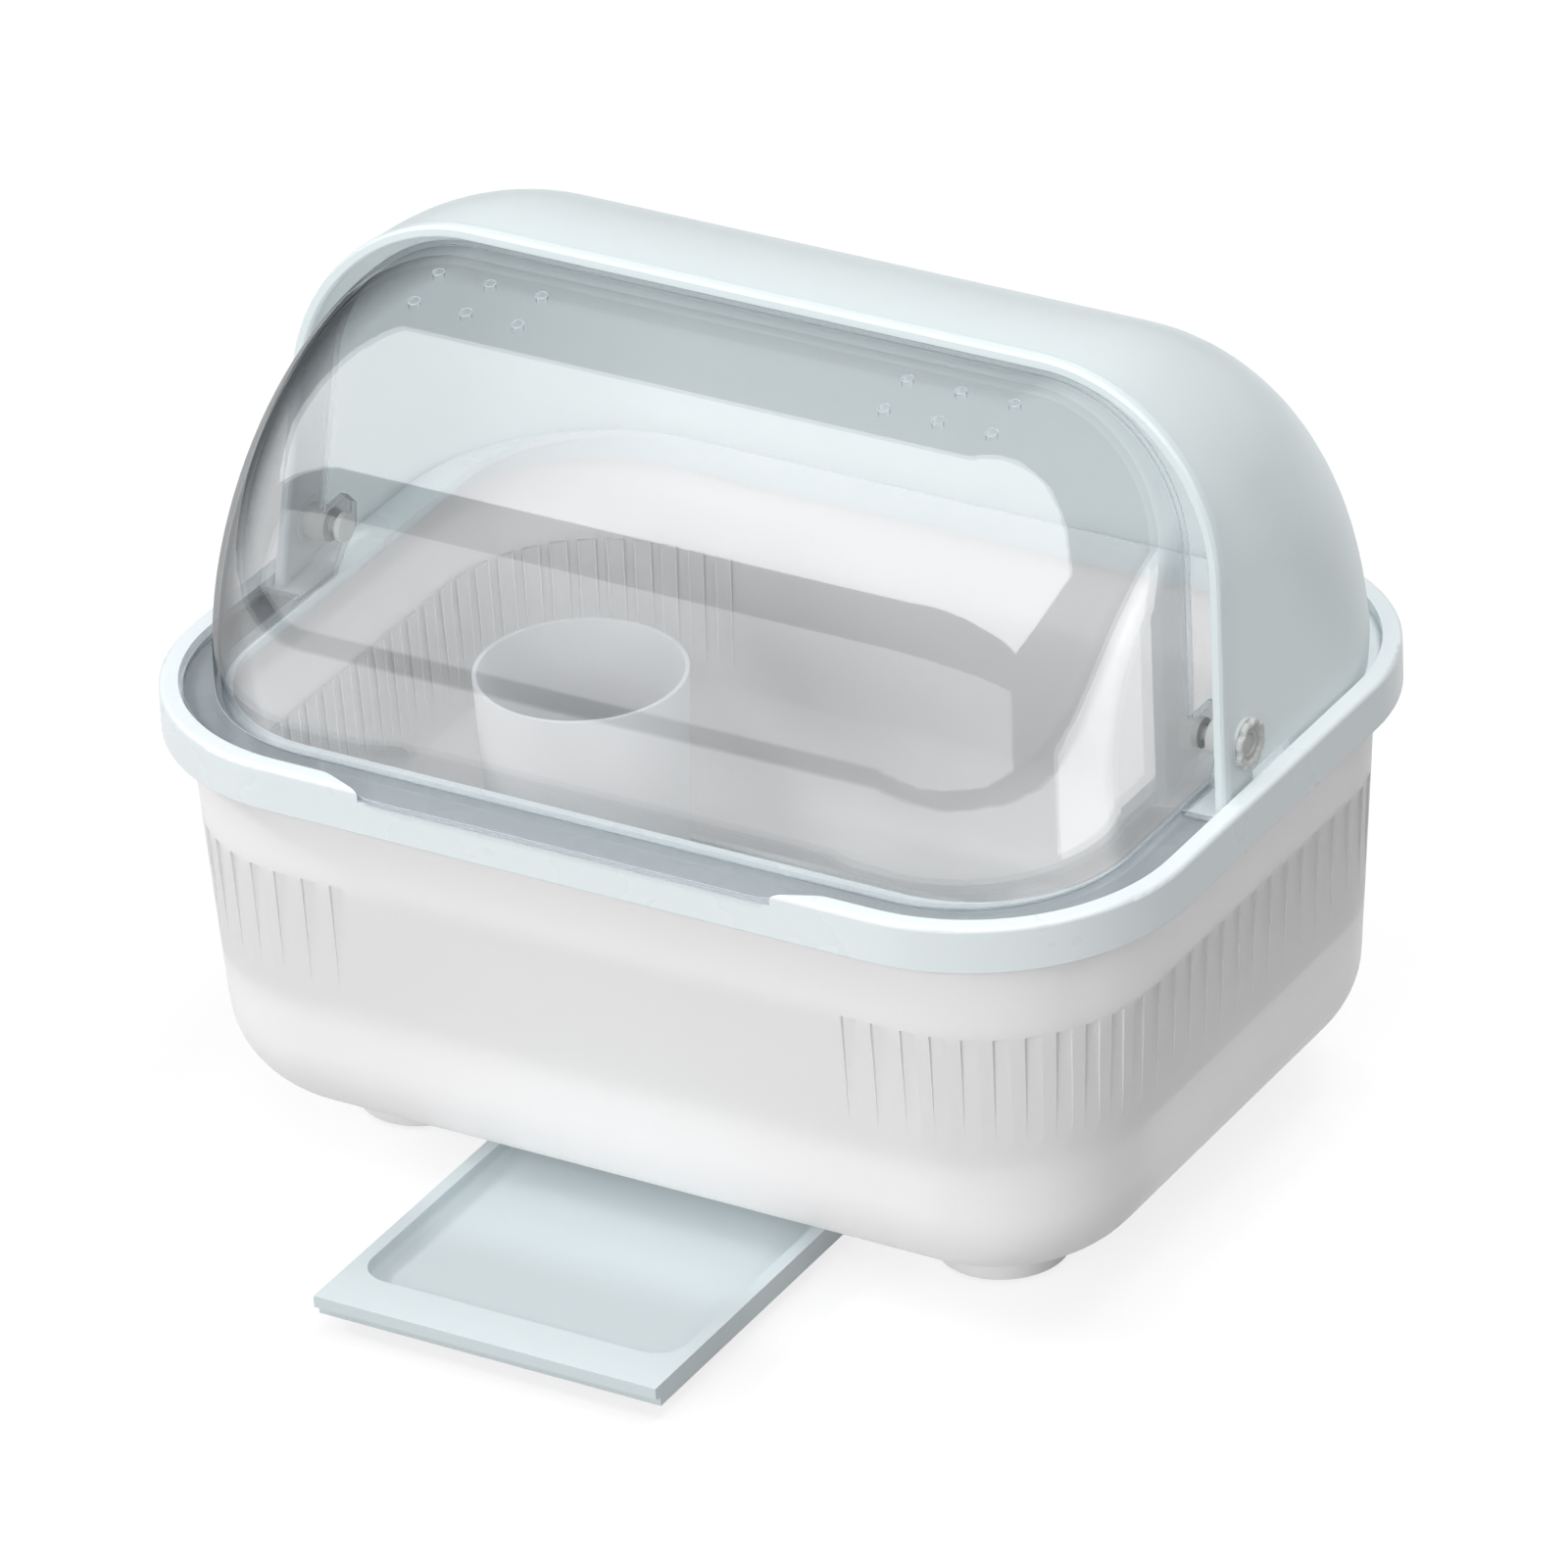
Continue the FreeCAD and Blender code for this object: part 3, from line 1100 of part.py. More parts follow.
def build():
    nodes = [outer_tub(), rim_frame(), rear_hood(), clear_lid()]
    for side, name in ((-1, "left"), (1, "right")):
        nodes += hinge_parts(side, name)
    nodes += [drain_board(), cutlery_cup(), drip_tray()]
    for side, name in ((-1, "left"), (1, "right")):
        nodes.append(tray_runner(side, name))
    for name, sx, sy in FOOT_PLACES:
        nodes += foot_and_pad(name, sx, sy)
    return nodes


def check_and_export(nodes):
    doc.recompute()
    faulty = [item.Name for item in doc.Objects if set(item.State) & {"Invalid", "Error"}]
    if faulty:
        raise RuntimeError("objects in error: " + ", ".join(faulty))
    os.makedirs("parts", exist_ok=True)
    for node in nodes:
        shape = node.Shape
        if shape.isNull() or not shape.isValid() or not shape.Solids:
            raise RuntimeError("bad shape: " + node.Label)
        shape.exportStep("parts/%s.step" % node.Label)


check_and_export(build())
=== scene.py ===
import json
import math

import bpy
import bmesh
from mathutils import Matrix, Vector


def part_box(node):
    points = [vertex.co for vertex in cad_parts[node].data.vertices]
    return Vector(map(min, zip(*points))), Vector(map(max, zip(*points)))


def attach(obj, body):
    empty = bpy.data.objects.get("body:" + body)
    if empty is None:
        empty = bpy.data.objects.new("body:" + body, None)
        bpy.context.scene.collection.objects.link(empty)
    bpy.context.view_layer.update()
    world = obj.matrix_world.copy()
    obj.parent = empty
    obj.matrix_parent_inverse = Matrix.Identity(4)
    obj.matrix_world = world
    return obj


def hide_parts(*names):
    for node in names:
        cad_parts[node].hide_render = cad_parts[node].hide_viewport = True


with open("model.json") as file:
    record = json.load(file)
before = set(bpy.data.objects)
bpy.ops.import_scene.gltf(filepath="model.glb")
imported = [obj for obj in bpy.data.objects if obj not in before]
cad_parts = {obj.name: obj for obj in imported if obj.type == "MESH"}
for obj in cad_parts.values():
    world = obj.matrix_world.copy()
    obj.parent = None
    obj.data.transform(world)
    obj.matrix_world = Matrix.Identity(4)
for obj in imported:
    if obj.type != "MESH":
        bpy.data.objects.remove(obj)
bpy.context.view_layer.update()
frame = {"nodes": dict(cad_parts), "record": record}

NODES = frame["nodes"]

SAME_PLACE = 1e-6
WHITE = (1.0, 1.0, 1.0)


# Camera at the photograph's viewing angle

CAMERA_PLACE = Vector((2.0067, -3.2814, 2.2751))
CAMERA_RIGHT = Vector((0.86455, 0.50071, -0.04307))
CAMERA_UP = Vector((-0.21228, 0.44151, 0.87181))
CAMERA_BACK = Vector((0.45553, -0.74457, 0.48799))
CAMERA_LENS = 286.45
CAMERA_SENSOR = 36.0
CAMERA_NEAREST = 0.05
CAMERA_FURTHEST = 60.0


def make_camera():
    data = bpy.data.cameras.new("camera")
    data.lens = CAMERA_LENS
    data.sensor_width = CAMERA_SENSOR
    data.clip_start = CAMERA_NEAREST
    data.clip_end = CAMERA_FURTHEST
    camera = bpy.data.objects.new("camera", data)
    bpy.context.scene.collection.objects.link(camera)
    turn = Matrix((CAMERA_RIGHT, CAMERA_UP, CAMERA_BACK)).transposed()
    camera.matrix_world = Matrix.Translation(CAMERA_PLACE) @ turn.to_4x4()
    bpy.context.scene.camera = camera


# Shader nodes

NOISE_LOW = 0.3
NOISE_HIGH = 0.7


def bare_material(name):
    """Material with nothing but its output."""
    material = bpy.data.materials.new(name)
    material.use_nodes = True
    tree = material.node_tree
    tree.nodes.clear()
    tree.nodes.new("ShaderNodeOutputMaterial")
    return material, tree


def new_material(name):
    """Material with a shader on its output."""
    material, tree = bare_material(name)
    shader = tree.nodes.new("ShaderNodeBsdfPrincipled")
    show(tree, shader.outputs["BSDF"])
    return material, tree, shader


def node_of(tree, kind):
    return next(node for node in tree.nodes if node.type == kind)


def surface_of(tree):
    """Shader that a material shows so far."""
    return node_of(tree, "OUTPUT_MATERIAL").inputs["Surface"].links[0].from_socket


def show(tree, surface):
    tree.links.new(surface, node_of(tree, "OUTPUT_MATERIAL").inputs["Surface"])


def feed(tree, value, socket):
    """Give an input another node's output, a colour or a number."""
    if isinstance(value, bpy.types.NodeSocket):
        tree.links.new(value, socket)
    elif isinstance(value, tuple):
        socket.default_value = (*value, 1.0)
    else:
        socket.default_value = value


def noise(tree, scale, detail=3.0, stretch=None):
    """Object-space noise; stretch scales the coordinates along X, Y and Z."""
    place = tree.nodes.new("ShaderNodeTexCoord").outputs["Object"]
    texture = tree.nodes.new("ShaderNodeTexNoise")
    texture.inputs["Scale"].default_value = scale
    texture.inputs["Detail"].default_value = detail
    if stretch:
        mapping = tree.nodes.new("ShaderNodeMapping")
        mapping.inputs["Scale"].default_value = stretch
        tree.links.new(place, mapping.inputs["Vector"])
        place = mapping.outputs["Vector"]
    tree.links.new(place, texture.inputs["Vector"])
    return texture.outputs["Fac"]


def coordinate(tree, axis):
    """Object-space coordinate along X, Y or Z, in metres."""
    place = tree.nodes.new("ShaderNodeTexCoord")
    split = tree.nodes.new("ShaderNodeSeparateXYZ")
    tree.links.new(place.outputs["Object"], split.inputs["Vector"])
    return split.outputs[axis]


def ray(tree, question):
    """One of the light path's answers, such as Is Camera Ray."""
    return tree.nodes.new("ShaderNodeLightPath").outputs[question]


def ranged(tree, value, low, high, start=0.0, end=1.0):
    """Map a value from start and end onto low and high."""
    node = tree.nodes.new("ShaderNodeMapRange")
    node.inputs["From Min"].default_value = start
    node.inputs["From Max"].default_value = end
    node.inputs["To Min"].default_value = low
    node.inputs["To Max"].default_value = high
    tree.links.new(value, node.inputs["Value"])
    return node.outputs["Result"]


def spread(tree, value, low, high):
    """Map a noise value onto a range."""
    return ranged(tree, value, low, high, NOISE_LOW, NOISE_HIGH)


def tinted(tree, value, first, second, start=NOISE_LOW, end=NOISE_HIGH):
    """Colour that goes from the first to the second as a value goes from start to end."""
    ramp = tree.nodes.new("ShaderNodeValToRGB")
    for element, place, colour in zip(ramp.color_ramp.elements, (start, end), (first, second)):
        element.position = place
        element.color = (*colour, 1.0)
    tree.links.new(value, ramp.inputs["Fac"])
    return ramp.outputs["Color"]


def bumped(tree, shader, value, strength, distance):
    bump = tree.nodes.new("ShaderNodeBump")
    bump.inputs["Strength"].default_value = strength
    bump.inputs["Distance"].default_value = distance
    tree.links.new(value, bump.inputs["Height"])
    tree.links.new(bump.outputs["Normal"], shader.inputs["Normal"])


def math_node(tree, operation, first, second):
    node = tree.nodes.new("ShaderNodeMath")
    node.operation = operation
    feed(tree, first, node.inputs[0])
    feed(tree, second, node.inputs[1])
    return node.outputs[0]


def product(tree, first, *others):
    for other in others:
        first = math_node(tree, "MULTIPLY", first, other)
    return first


def colour_product(tree, first, second):
    node = tree.nodes.new("ShaderNodeVectorMath")
    node.operation = "MULTIPLY"
    tree.links.new(first, node.inputs[0])
    tree.links.new(second, node.inputs[1])
    return node.outputs["Vector"]


def colour_mix(tree, factor, first, second):
    node = tree.nodes.new("ShaderNodeMix")
    node.data_type = "RGBA"
    feed(tree, factor, node.inputs[0])
    colours = [socket for socket in node.inputs if socket.type == "RGBA"]
    for socket, value in zip(colours, (first, second)):
        feed(tree, value, socket)
    return next(socket for socket in node.outputs if socket.type == "RGBA")


def shader_mix(tree, factor, first, second):
    node = tree.nodes.new("ShaderNodeMixShader")
    feed(tree, factor, node.inputs["Fac"])
    tree.links.new(first, node.inputs[1])
    tree.links.new(second, node.inputs[2])
    return node.outputs["Shader"]


def see_through(tree, colour):
    node = tree.nodes.new("ShaderNodeBsdfTransparent")
    feed(tree, colour, node.inputs["Color"])
    return node.outputs["BSDF"]


def linear(*rgb):
    """Linear colour from the 0 to 255 values that it should show."""
    return tuple(((c / 255 + 0.055) / 1.055) ** 2.4 for c in rgb)


# Moulded plastics

PLASTIC_IOR = 1.47
TINT_VARIATION = 0.006
GLOSS_VARIATION = 0.06
ORANGE_PEEL = 0.04
ORANGE_PEEL_SIZE = 900.0
ORANGE_PEEL_DEPTH = 0.0001


def moulded_plastic(name, colour, roughness):
    """Injection-moulded plastic: faint flow marks in tint and gloss, and a slight orange peel."""
    material, tree, shader = new_material(name)
    flow = noise(tree, 6.0, 2.0, (1.0, 1.0, 2.5))
    dark = tuple(c * (1 - TINT_VARIATION) for c in colour)
    light = tuple(min(1.0, c * (1 + TINT_VARIATION)) for c in colour)
    tree.links.new(tinted(tree, flow, dark, light), shader.inputs["Base Color"])
    glossy = roughness * (1 - GLOSS_VARIATION)
    dull = roughness * (1 + GLOSS_VARIATION)
    tree.links.new(spread(tree, noise(tree, 25.0), glossy, dull), shader.inputs["Roughness"])
    bumped(tree, shader, noise(tree, ORANGE_PEEL_SIZE, 2.0), ORANGE_PEEL, ORANGE_PEEL_DEPTH)
    shader.inputs["IOR"].default_value = PLASTIC_IOR
    return material


def lit_through(material, share):
    """Scatter a share of the light through the plastic; share is a number or a socket."""
    tree = material.node_tree
    colour = node_of(tree, "BSDF_PRINCIPLED").inputs["Base Color"].links[0].from_socket
    through = tree.nodes.new("ShaderNodeBsdfTranslucent")
    tree.links.new(colour, through.inputs["Color"])
    show(tree, shader_mix(tree, share, surface_of(tree), through.outputs["BSDF"]))
    return material


def thin_shadow(material, share):
    """Let a share of each lamp's light pass the thin wall, so that what it encloses isn't dark."""
    tree = material.node_tree
    passing = product(tree, ray(tree, "Is Shadow Ray"), share)
    show(tree, shader_mix(tree, passing, surface_of(tree), see_through(tree, WHITE)))
    return material


# White tub: the fluted band keeps its shadows crisp

FLUTE_ZONE = (0.075, 0.13)
TUB_GLOW = 0.22
TUB_PASSES = 0.85


def white_tub(name):
    """Satin white plastic; lamp light passes the plain wall above and below the flutes."""
    material = lit_through(moulded_plastic(name, linear(244, 243, 243), 0.38), TUB_GLOW)
    tree = material.node_tree
    level = coordinate(tree, "Z")
    below = math_node(tree, "LESS_THAN", level, FLUTE_ZONE[0])
    over = math_node(tree, "GREATER_THAN", level, FLUTE_ZONE[1])
    plain = math_node(tree, "ADD", below, over)
    return thin_shadow(material, product(tree, plain, TUB_PASSES))


# Frosted hood

BEAD_DEPTH = 0.0062
HOOD_FRONT_FOOT = -0.028
HOOD_RIM_LEVEL = 0.1775
HOOD_TILT = math.radians(8.0)
HOOD_GLOW = 0.3
HOOD_PASSES = 0.42
BEAD_GLOW = 0.08


def frosted_hood(name):
    """Milky plastic; the bead on its front edge is cooler and lets less light through, a separate band
    that stands in for the light along the bead: painted highlight.
    """
    material = moulded_plastic(name, linear(230, 236, 237), 0.3)
    tree = material.node_tree
    base = node_of(tree, "BSDF_PRINCIPLED").inputs["Base Color"]
    back = math_node(tree, "SUBTRACT", coordinate(tree, "Y"), HOOD_FRONT_FOOT)
    rise = math_node(tree, "SUBTRACT", coordinate(tree, "Z"), HOOD_RIM_LEVEL)
    leaning = product(tree, rise, math.tan(HOOD_TILT))
    on_bead = math_node(tree, "LESS_THAN", math_node(tree, "SUBTRACT", back, leaning), BEAD_DEPTH)
    skin = base.links[0].from_socket
    # Painted highlight: the bead's own tint and smaller light share stand in for the light along its
    # rounded edge
    tree.links.new(colour_mix(tree, on_bead, skin, linear(226, 235, 237)), base)
    lit_through(material, ranged(tree, on_bead, HOOD_GLOW, BEAD_GLOW))
    return thin_shadow(material, HOOD_PASSES)


# Clear lid

LID_TINT_DARK = (0.985, 0.99, 0.994)
LID_TINT_LIGHT = (0.992, 0.996, 0.998)
# Painted shade: the see-through darkens towards this edge on, in place of dark reflections along the lid's
# edges
LID_EDGE_ON_PAINTED_SHADE = (0.12, 0.14, 0.16)
LID_EDGE_ON_START = 0.42
FLANGE_LEVEL = 0.1757
# Painted shade: what is seen through the flange is darkened, in place of the shade on the ledge under it
FLANGE_PAINTED_SHADE = (0.885, 0.885, 0.895)
LID_SHADOW_TINT = (0.985, 0.988, 0.99)
LID_MIRROR = 0.1
LID_MIRROR_EDGE_ON = 0.45
LID_MIRROR_POWER = 4.0
LID_ROUGHEST = 0.0025
# Painted highlight: the edge beads are partly solid pale plastic, to show as light lines
LID_EDGE_GLINT_SOLID = 0.42
LID_EDGE_TINT = (0.93, 0.95, 0.96)


def lid_tint_with_painted_shade(tree, facing):
    """Tint of what is seen through the sheet, with painted shade: darker edge on, in place of dark
    reflections along the lid's edges, and darker in the flange, in place of the shade on the ledge under
    it.
    """
    open_tint = tinted(tree, noise(tree, 5.0, 1.0), LID_TINT_DARK, LID_TINT_LIGHT)
    painted_edge_shade = tinted(tree, facing, WHITE, LID_EDGE_ON_PAINTED_SHADE, LID_EDGE_ON_START, 1.0)
    # Painted shade in the flange, below its level
    low = math_node(tree, "LESS_THAN", coordinate(tree, "Z"), FLANGE_LEVEL)
    flange = colour_mix(tree, low, WHITE, FLANGE_PAINTED_SHADE)
    return colour_product(tree, colour_product(tree, open_tint, painted_edge_shade), flange)


def clear_plastic(name):
    """Thin clear sheet: tinted see-through with painted shade edge on and in the flange, and a mirror that
    grows edge on.
    """
    material, tree, shader = new_material(name)
    shader.inputs["Base Color"].default_value = (*WHITE, 1.0)
    shader.inputs["Metallic"].default_value = 1.0
    tree.links.new(spread(tree, noise(tree, 30.0), 0.0, LID_ROUGHEST), shader.inputs["Roughness"])
    bumped(tree, shader, noise(tree, 14.0, 1.0), 0.02, 0.0003)
    weight = tree.nodes.new("ShaderNodeLayerWeight")
    weight.inputs["Blend"].default_value = 0.5
    facing = weight.outputs["Facing"]
    grazing = math_node(tree, "POWER", facing, LID_MIRROR_POWER)
    mirror = ranged(tree, grazing, LID_MIRROR, LID_MIRROR_EDGE_ON)
    through = see_through(tree, lid_tint_with_painted_shade(tree, facing))
    seen = shader_mix(tree, mirror, through, shader.outputs["BSDF"])
    shadow = see_through(tree, LID_SHADOW_TINT)
    show(tree, shader_mix(tree, ray(tree, "Is Shadow Ray"), seen, shadow))
    return material


def painted_glint_edge(name):
    """Rounded edge of the clear sheet: paler and more solid than the sheet, a painted highlight for the
    light the polished edges catch.
    """
    material = moulded_plastic(name, linear(226, 234, 239), 0.12)
    tree = material.node_tree
    through = see_through(tree, LID_EDGE_TINT)
    show(tree, shader_mix(tree, LID_EDGE_GLINT_SOLID, through, surface_of(tree)))
    return material


# Rubber pads

RUBBER_DARK = (0.035, 0.035, 0.036)
RUBBER_LIGHT = (0.06, 0.06, 0.06)


def rubber(name):
    material, tree, shader = new_material(name)
    grain = noise(tree, 400.0, 6.0)
    tree.links.new(tinted(tree, grain, RUBBER_DARK, RUBBER_LIGHT), shader.inputs["Base Color"])
    tree.links.new(spread(tree, grain, 0.6, 0.85), shader.inputs["Roughness"])
    bumped(tree, shader, grain, 0.3, 0.0002)
    return material


# Materials of the record's slots

MATERIALS = {
    "tub_white": white_tub("tub_white"),
    "rim_white": lit_through(moulded_plastic("rim_white", linear(233, 240, 242), 0.28), 0.05),
    "hood_frosted": frosted_hood("hood_frosted"),
    "lid_clear": clear_plastic("lid_clear"),
    "hinge_grey": lit_through(moulded_plastic("hinge_grey", linear(216, 217, 215), 0.3), 0.2),
    "cup_white": lit_through(moulded_plastic("cup_white", linear(246, 246, 247), 0.35), 0.35),
    "board_white": lit_through(moulded_plastic("board_white", linear(248, 248, 248), 0.4), 0.2),
    "tray_white": moulded_plastic("tray_white", linear(206, 216, 219), 0.32),
    "runner_white": moulded_plastic("runner_white", linear(228, 230, 230), 0.5),
    "foot_grey": moulded_plastic("foot_grey", linear(246, 246, 246), 0.45),
    "pad_rubber": rubber("pad_rubber"),
}


def dress_nodes():
    """Give each carried-over node the material of its record slot."""
    slots = {entry["node"]: entry["material_slot"] for entry in frame["record"]["subparts"]}
    for name, item in NODES.items():
        if not item.material_slots:
            item.data.materials.append(None)
        for slot in item.material_slots:
            slot.link = "OBJECT"
            slot.material = MATERIALS[slots[name]]


def new_piece(name, mesh, body):
    """Finished detail that moves with a body and wears the material already on its mesh."""
    piece = bpy.data.objects.new(name, mesh)
    bpy.context.scene.collection.objects.link(piece)
    for face in mesh.polygons:
        face.use_smooth = True
    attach(piece, body)
    return piece


# Hinge caps: scalloped, with a raised rounded rim and a dished middle

CAP_LOBES = 8
CAP_AROUND = 192
CAP_HEIGHT = 0.0026
CAP_SCALLOP = 0.0013
CAP_SCALLOP_POWER = 3
CAP_ROUND_SHARE = 0.55

# Shares of the cap's radius and height, from its back edge over the rim to the middle of the dish
CAP_PROFILE = (
    (0.93, 0.0), (0.985, 0.12), (1.0, 0.3), (1.0, 0.55), (0.985, 0.76), (0.95, 0.92), (0.9, 1.0),
    (0.82, 1.0), (0.76, 0.94), (0.71, 0.8), (0.68, 0.62), (0.66, 0.5), (0.6, 0.44), (0.54, 0.47),
    (0.5, 0.56), (0.45, 0.58), (0.41, 0.5), (0.38, 0.34), (0.36, 0.22), (0.3, 0.18), (0.1, 0.2),
)


def cap_ring(radius, share):
    """Points across and up of one ring of the cap, about its middle; the scallops fade inwards."""
    fade = max(0.0, (share - CAP_ROUND_SHARE) / (1 - CAP_ROUND_SHARE))
    points = []
    for i in range(CAP_AROUND):
        angle = 2 * math.pi * i / CAP_AROUND
        bite = (0.5 + 0.5 * math.cos(CAP_LOBES * angle)) ** CAP_SCALLOP_POWER
        reach = radius * share - CAP_SCALLOP * bite * fade
        points.append((reach * math.sin(angle), reach * math.cos(angle)))
    return points


def make_cap(side, name):
    low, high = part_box("hinge_cap_" + name)
    centre = (Vector(low) + Vector(high)) / 2
    radius = (high[2] - low[2]) / 2
    seat = low[0] if side == 1 else high[0]
    bm = bmesh.new()
    rings = []
    for share, height in CAP_PROFILE:
        x = seat + side * CAP_HEIGHT * height
        ring = [bm.verts.new((x, centre.y + y, centre.z + z)) for y, z in cap_ring(radius, share)]
        rings.append(ring)
    for inner, outer in zip(rings, rings[1:]):
        for i in range(CAP_AROUND):
            j = (i + 1) % CAP_AROUND
            bm.faces.new((inner[i], inner[j], outer[j], outer[i]))
    bm.faces.new(rings[-1])
    bm.faces.new(rings[0])
    bmesh.ops.recalc_face_normals(bm, faces=bm.faces)
    mesh = bpy.data.meshes.new("lobed_cap_" + name)
    bm.to_mesh(mesh)
    bm.free()
    mesh.materials.append(MATERIALS["hinge_grey"])
    cap = new_piece("lobed_cap_" + name, mesh, "rack")
    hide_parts("hinge_cap_" + name)


# Fine beads along sharp edges

BEAD_ROUNDNESS = 1


def run_from(bm, around, left, start, edge):
    """Points of the run that leaves a vertex by a sharp edge; its edges come off those left."""
    points = [bm.verts[start].co.copy()]
    here = start
    while edge is not None:
        left.discard(edge)
        here = edge.other_vert(bm.verts[here]).index
        points.append(bm.verts[here].co.copy())
        onward = [e for e in around[here] if e in left]
        edge = onward[0] if len(around[here]) == 2 and onward else None
    return points


def sharp_runs(node, angle):
    """Runs of points along the edges of a carried-over node that are sharper than an angle."""
    bm = bmesh.new()
    bm.from_mesh(NODES[node].data)
    bmesh.ops.remove_doubles(bm, verts=bm.verts, dist=SAME_PLACE)
    sharp = {e for e in bm.edges if len(e.link_faces) == 2 and e.calc_face_angle(0.0) > angle}
    around = {}
    for edge in sorted(sharp, key=lambda e: e.index):
        for vert in edge.verts:
            around.setdefault(vert.index, []).append(edge)
    bm.verts.ensure_lookup_table()
    left = set(sharp)
    ends = [i for i in sorted(around) if len(around[i]) != 2]
    runs = []
    for start in ends + sorted(around):
        for edge in around[start]:
            if edge in left:
                runs.append(run_from(bm, around, left, start, edge))
    bm.free()
    return runs


def is_ring(run):
    return (run[0] - run[-1]).length < SAME_PLACE


def beads_along(name, runs, radius, scales=None):
    """Mesh of thin round beads along runs of points; scales thins single runs."""
    curve = bpy.data.curves.new(name, "CURVE")
    curve.dimensions = "3D"
    curve.bevel_depth = radius
    curve.bevel_resolution = BEAD_ROUNDNESS
    for run, scale in zip(runs, scales or [1.0] * len(runs)):
        closed = is_ring(run) and len(run) > 3
        places = run[:-1] if closed else run
        spline = curve.splines.new("POLY")
        spline.points.add(len(places) - 1)
        for point, place in zip(spline.points, places):
            point.co = (*place, 1.0)
            point.radius = scale
        spline.use_cyclic_u = closed
    holder = bpy.data.objects.new(name + "_curve", curve)
    bpy.context.scene.collection.objects.link(holder)
    bpy.context.view_layer.update()
    mesh = bpy.data.meshes.new_from_object(holder)
    bpy.data.objects.remove(holder)
    mesh.name = name
    mesh.materials.clear()
    return mesh


# Polished edges of the clear lid, as fine beads with painted highlight lines

LID_EDGE_ANGLE = math.radians(55)
LID_EDGE_BEAD = 0.00028
LID_MIDDLE_LEVEL = 0.1
VENT_SPACE = 0.004
VENT_THIN = 0.7
SURFACE_STEP = 1e-4


def reach_of(run):
    """Middle of a run of points, and its distance from the lid's middle."""
    middle = sum(run, Vector()) / len(run)
    return middle, math.hypot(middle.y, middle.z - LID_MIDDLE_LEVEL)


def is_vent(run):
    return is_ring(run) and (run[0] - reach_of(run)[0]).length < VENT_SPACE


def is_inner_vent(run, vents):
    """True for a vent hole's edge on the inside of the lid."""
    middle, reach = reach_of(run)
    for other in vents:
        other_middle, other_reach = reach_of(other)
        if (other_middle - middle).length < VENT_SPACE and other_reach > reach + SURFACE_STEP:
            return True
    return False


def make_lid_edges():
    """Beads along the lid's edges, but for the inner edges of its vent holes."""
    runs = sharp_runs("clear_lid", LID_EDGE_ANGLE)
    vents = [run for run in runs if is_vent(run)]
    kept = [run for run in runs if not (is_vent(run) and is_inner_vent(run, vents))]
    scales = [VENT_THIN if is_vent(run) else 1.0 for run in kept]
    mesh = beads_along("lid_edges", kept, LID_EDGE_BEAD, scales)
    mesh.materials.append(painted_glint_edge("lid_edge"))
    new_piece("lid_edges", mesh, "lid")


# Crests of the ribs inside the tub wall; the tub's sizes are those of the part's source

TUB_HALF_WIDTH = 0.19
TUB_HALF_DEPTH = 0.1385
TUB_CORNER = 0.066
TUB_TOP = 0.17
TUB_DRAWN_IN = 0.01
TUB_WALL_HEIGHT = 0.152
RIB_ANGLE = math.radians(35)
RIB_BEAD = 0.00035
RIB_LEVELS = (0.082, 0.1278)
RIB_DEPTH = 0.0032
RIB_LENGTH = 0.03
RIB_WIDTH = 0.0056
CREST_STEPS = 6


def past_straight(place):
    """How far a point is past the straight stretches of the tub's outline, across and along."""
    across = abs(place.x) - (TUB_HALF_WIDTH - TUB_CORNER)
    along = abs(place.y) - (TUB_HALF_DEPTH - TUB_CORNER)
    return across, along


def depth_in_wall(place):
    """How far a point lies inside the outer face of the tub wall."""
    drawn_in = (TUB_TOP - place.z) * TUB_DRAWN_IN / TUB_WALL_HEIGHT
    across, along = past_straight(place)
    reach = math.hypot(max(across, 0.0), max(along, 0.0)) + min(max(across, along), 0.0)
    return TUB_CORNER - drawn_in - reach


def wall_outward(place):
    """Direction out of the tub wall at a point, seen from above."""
    across, along = (max(past, 0.0) for past in past_straight(place))
    out = Vector((math.copysign(across, place.x), math.copysign(along, place.y), 0.0))
    return out.normalized() if out.length > SAME_PLACE else Vector((0.0, math.copysign(1.0, place.y), 0.0))


def is_crest(foot, top):
    """True for a long upright edge on the inside of the wall, at the level of the ribs."""
    at_level = RIB_LEVELS[0] < foot.z and top.z < RIB_LEVELS[1]
    return at_level and top.z - foot.z > RIB_LENGTH and depth_in_wall(top) > RIB_DEPTH


def make_rib_crests():
    """One fine bead along the leading crest of each rib, which has a second crest beyond it; the bead is
    whiter than the tub, a painted highlight along the crest.
    """
    crests = []
    for run in sharp_runs("outer_tub", RIB_ANGLE):
        for pair in zip(run, run[1:]):
            foot, top = sorted(pair, key=lambda place: place.z)
            if is_crest(foot, top):
                crests.append((top, foot))
    leading = []
    for top, foot in crests:
        out = wall_outward(top)
        beyond = top + Vector((-out.y, out.x, 0.0)) * RIB_WIDTH
        if any((other - beyond).length < RIB_WIDTH / 3 for other, _ in crests):
            leading.append([top.lerp(foot, step / CREST_STEPS) for step in range(CREST_STEPS + 1)])
    mesh = beads_along("rib_crests", leading, RIB_BEAD)
    # Painted highlight: whiter plastic than the tub's, to show the crest as a light line
    mesh.materials.append(moulded_plastic("rib_crest", linear(252, 252, 252), 0.2))
    new_piece("rib_crests", mesh, "rack")


# Floor and reflected card

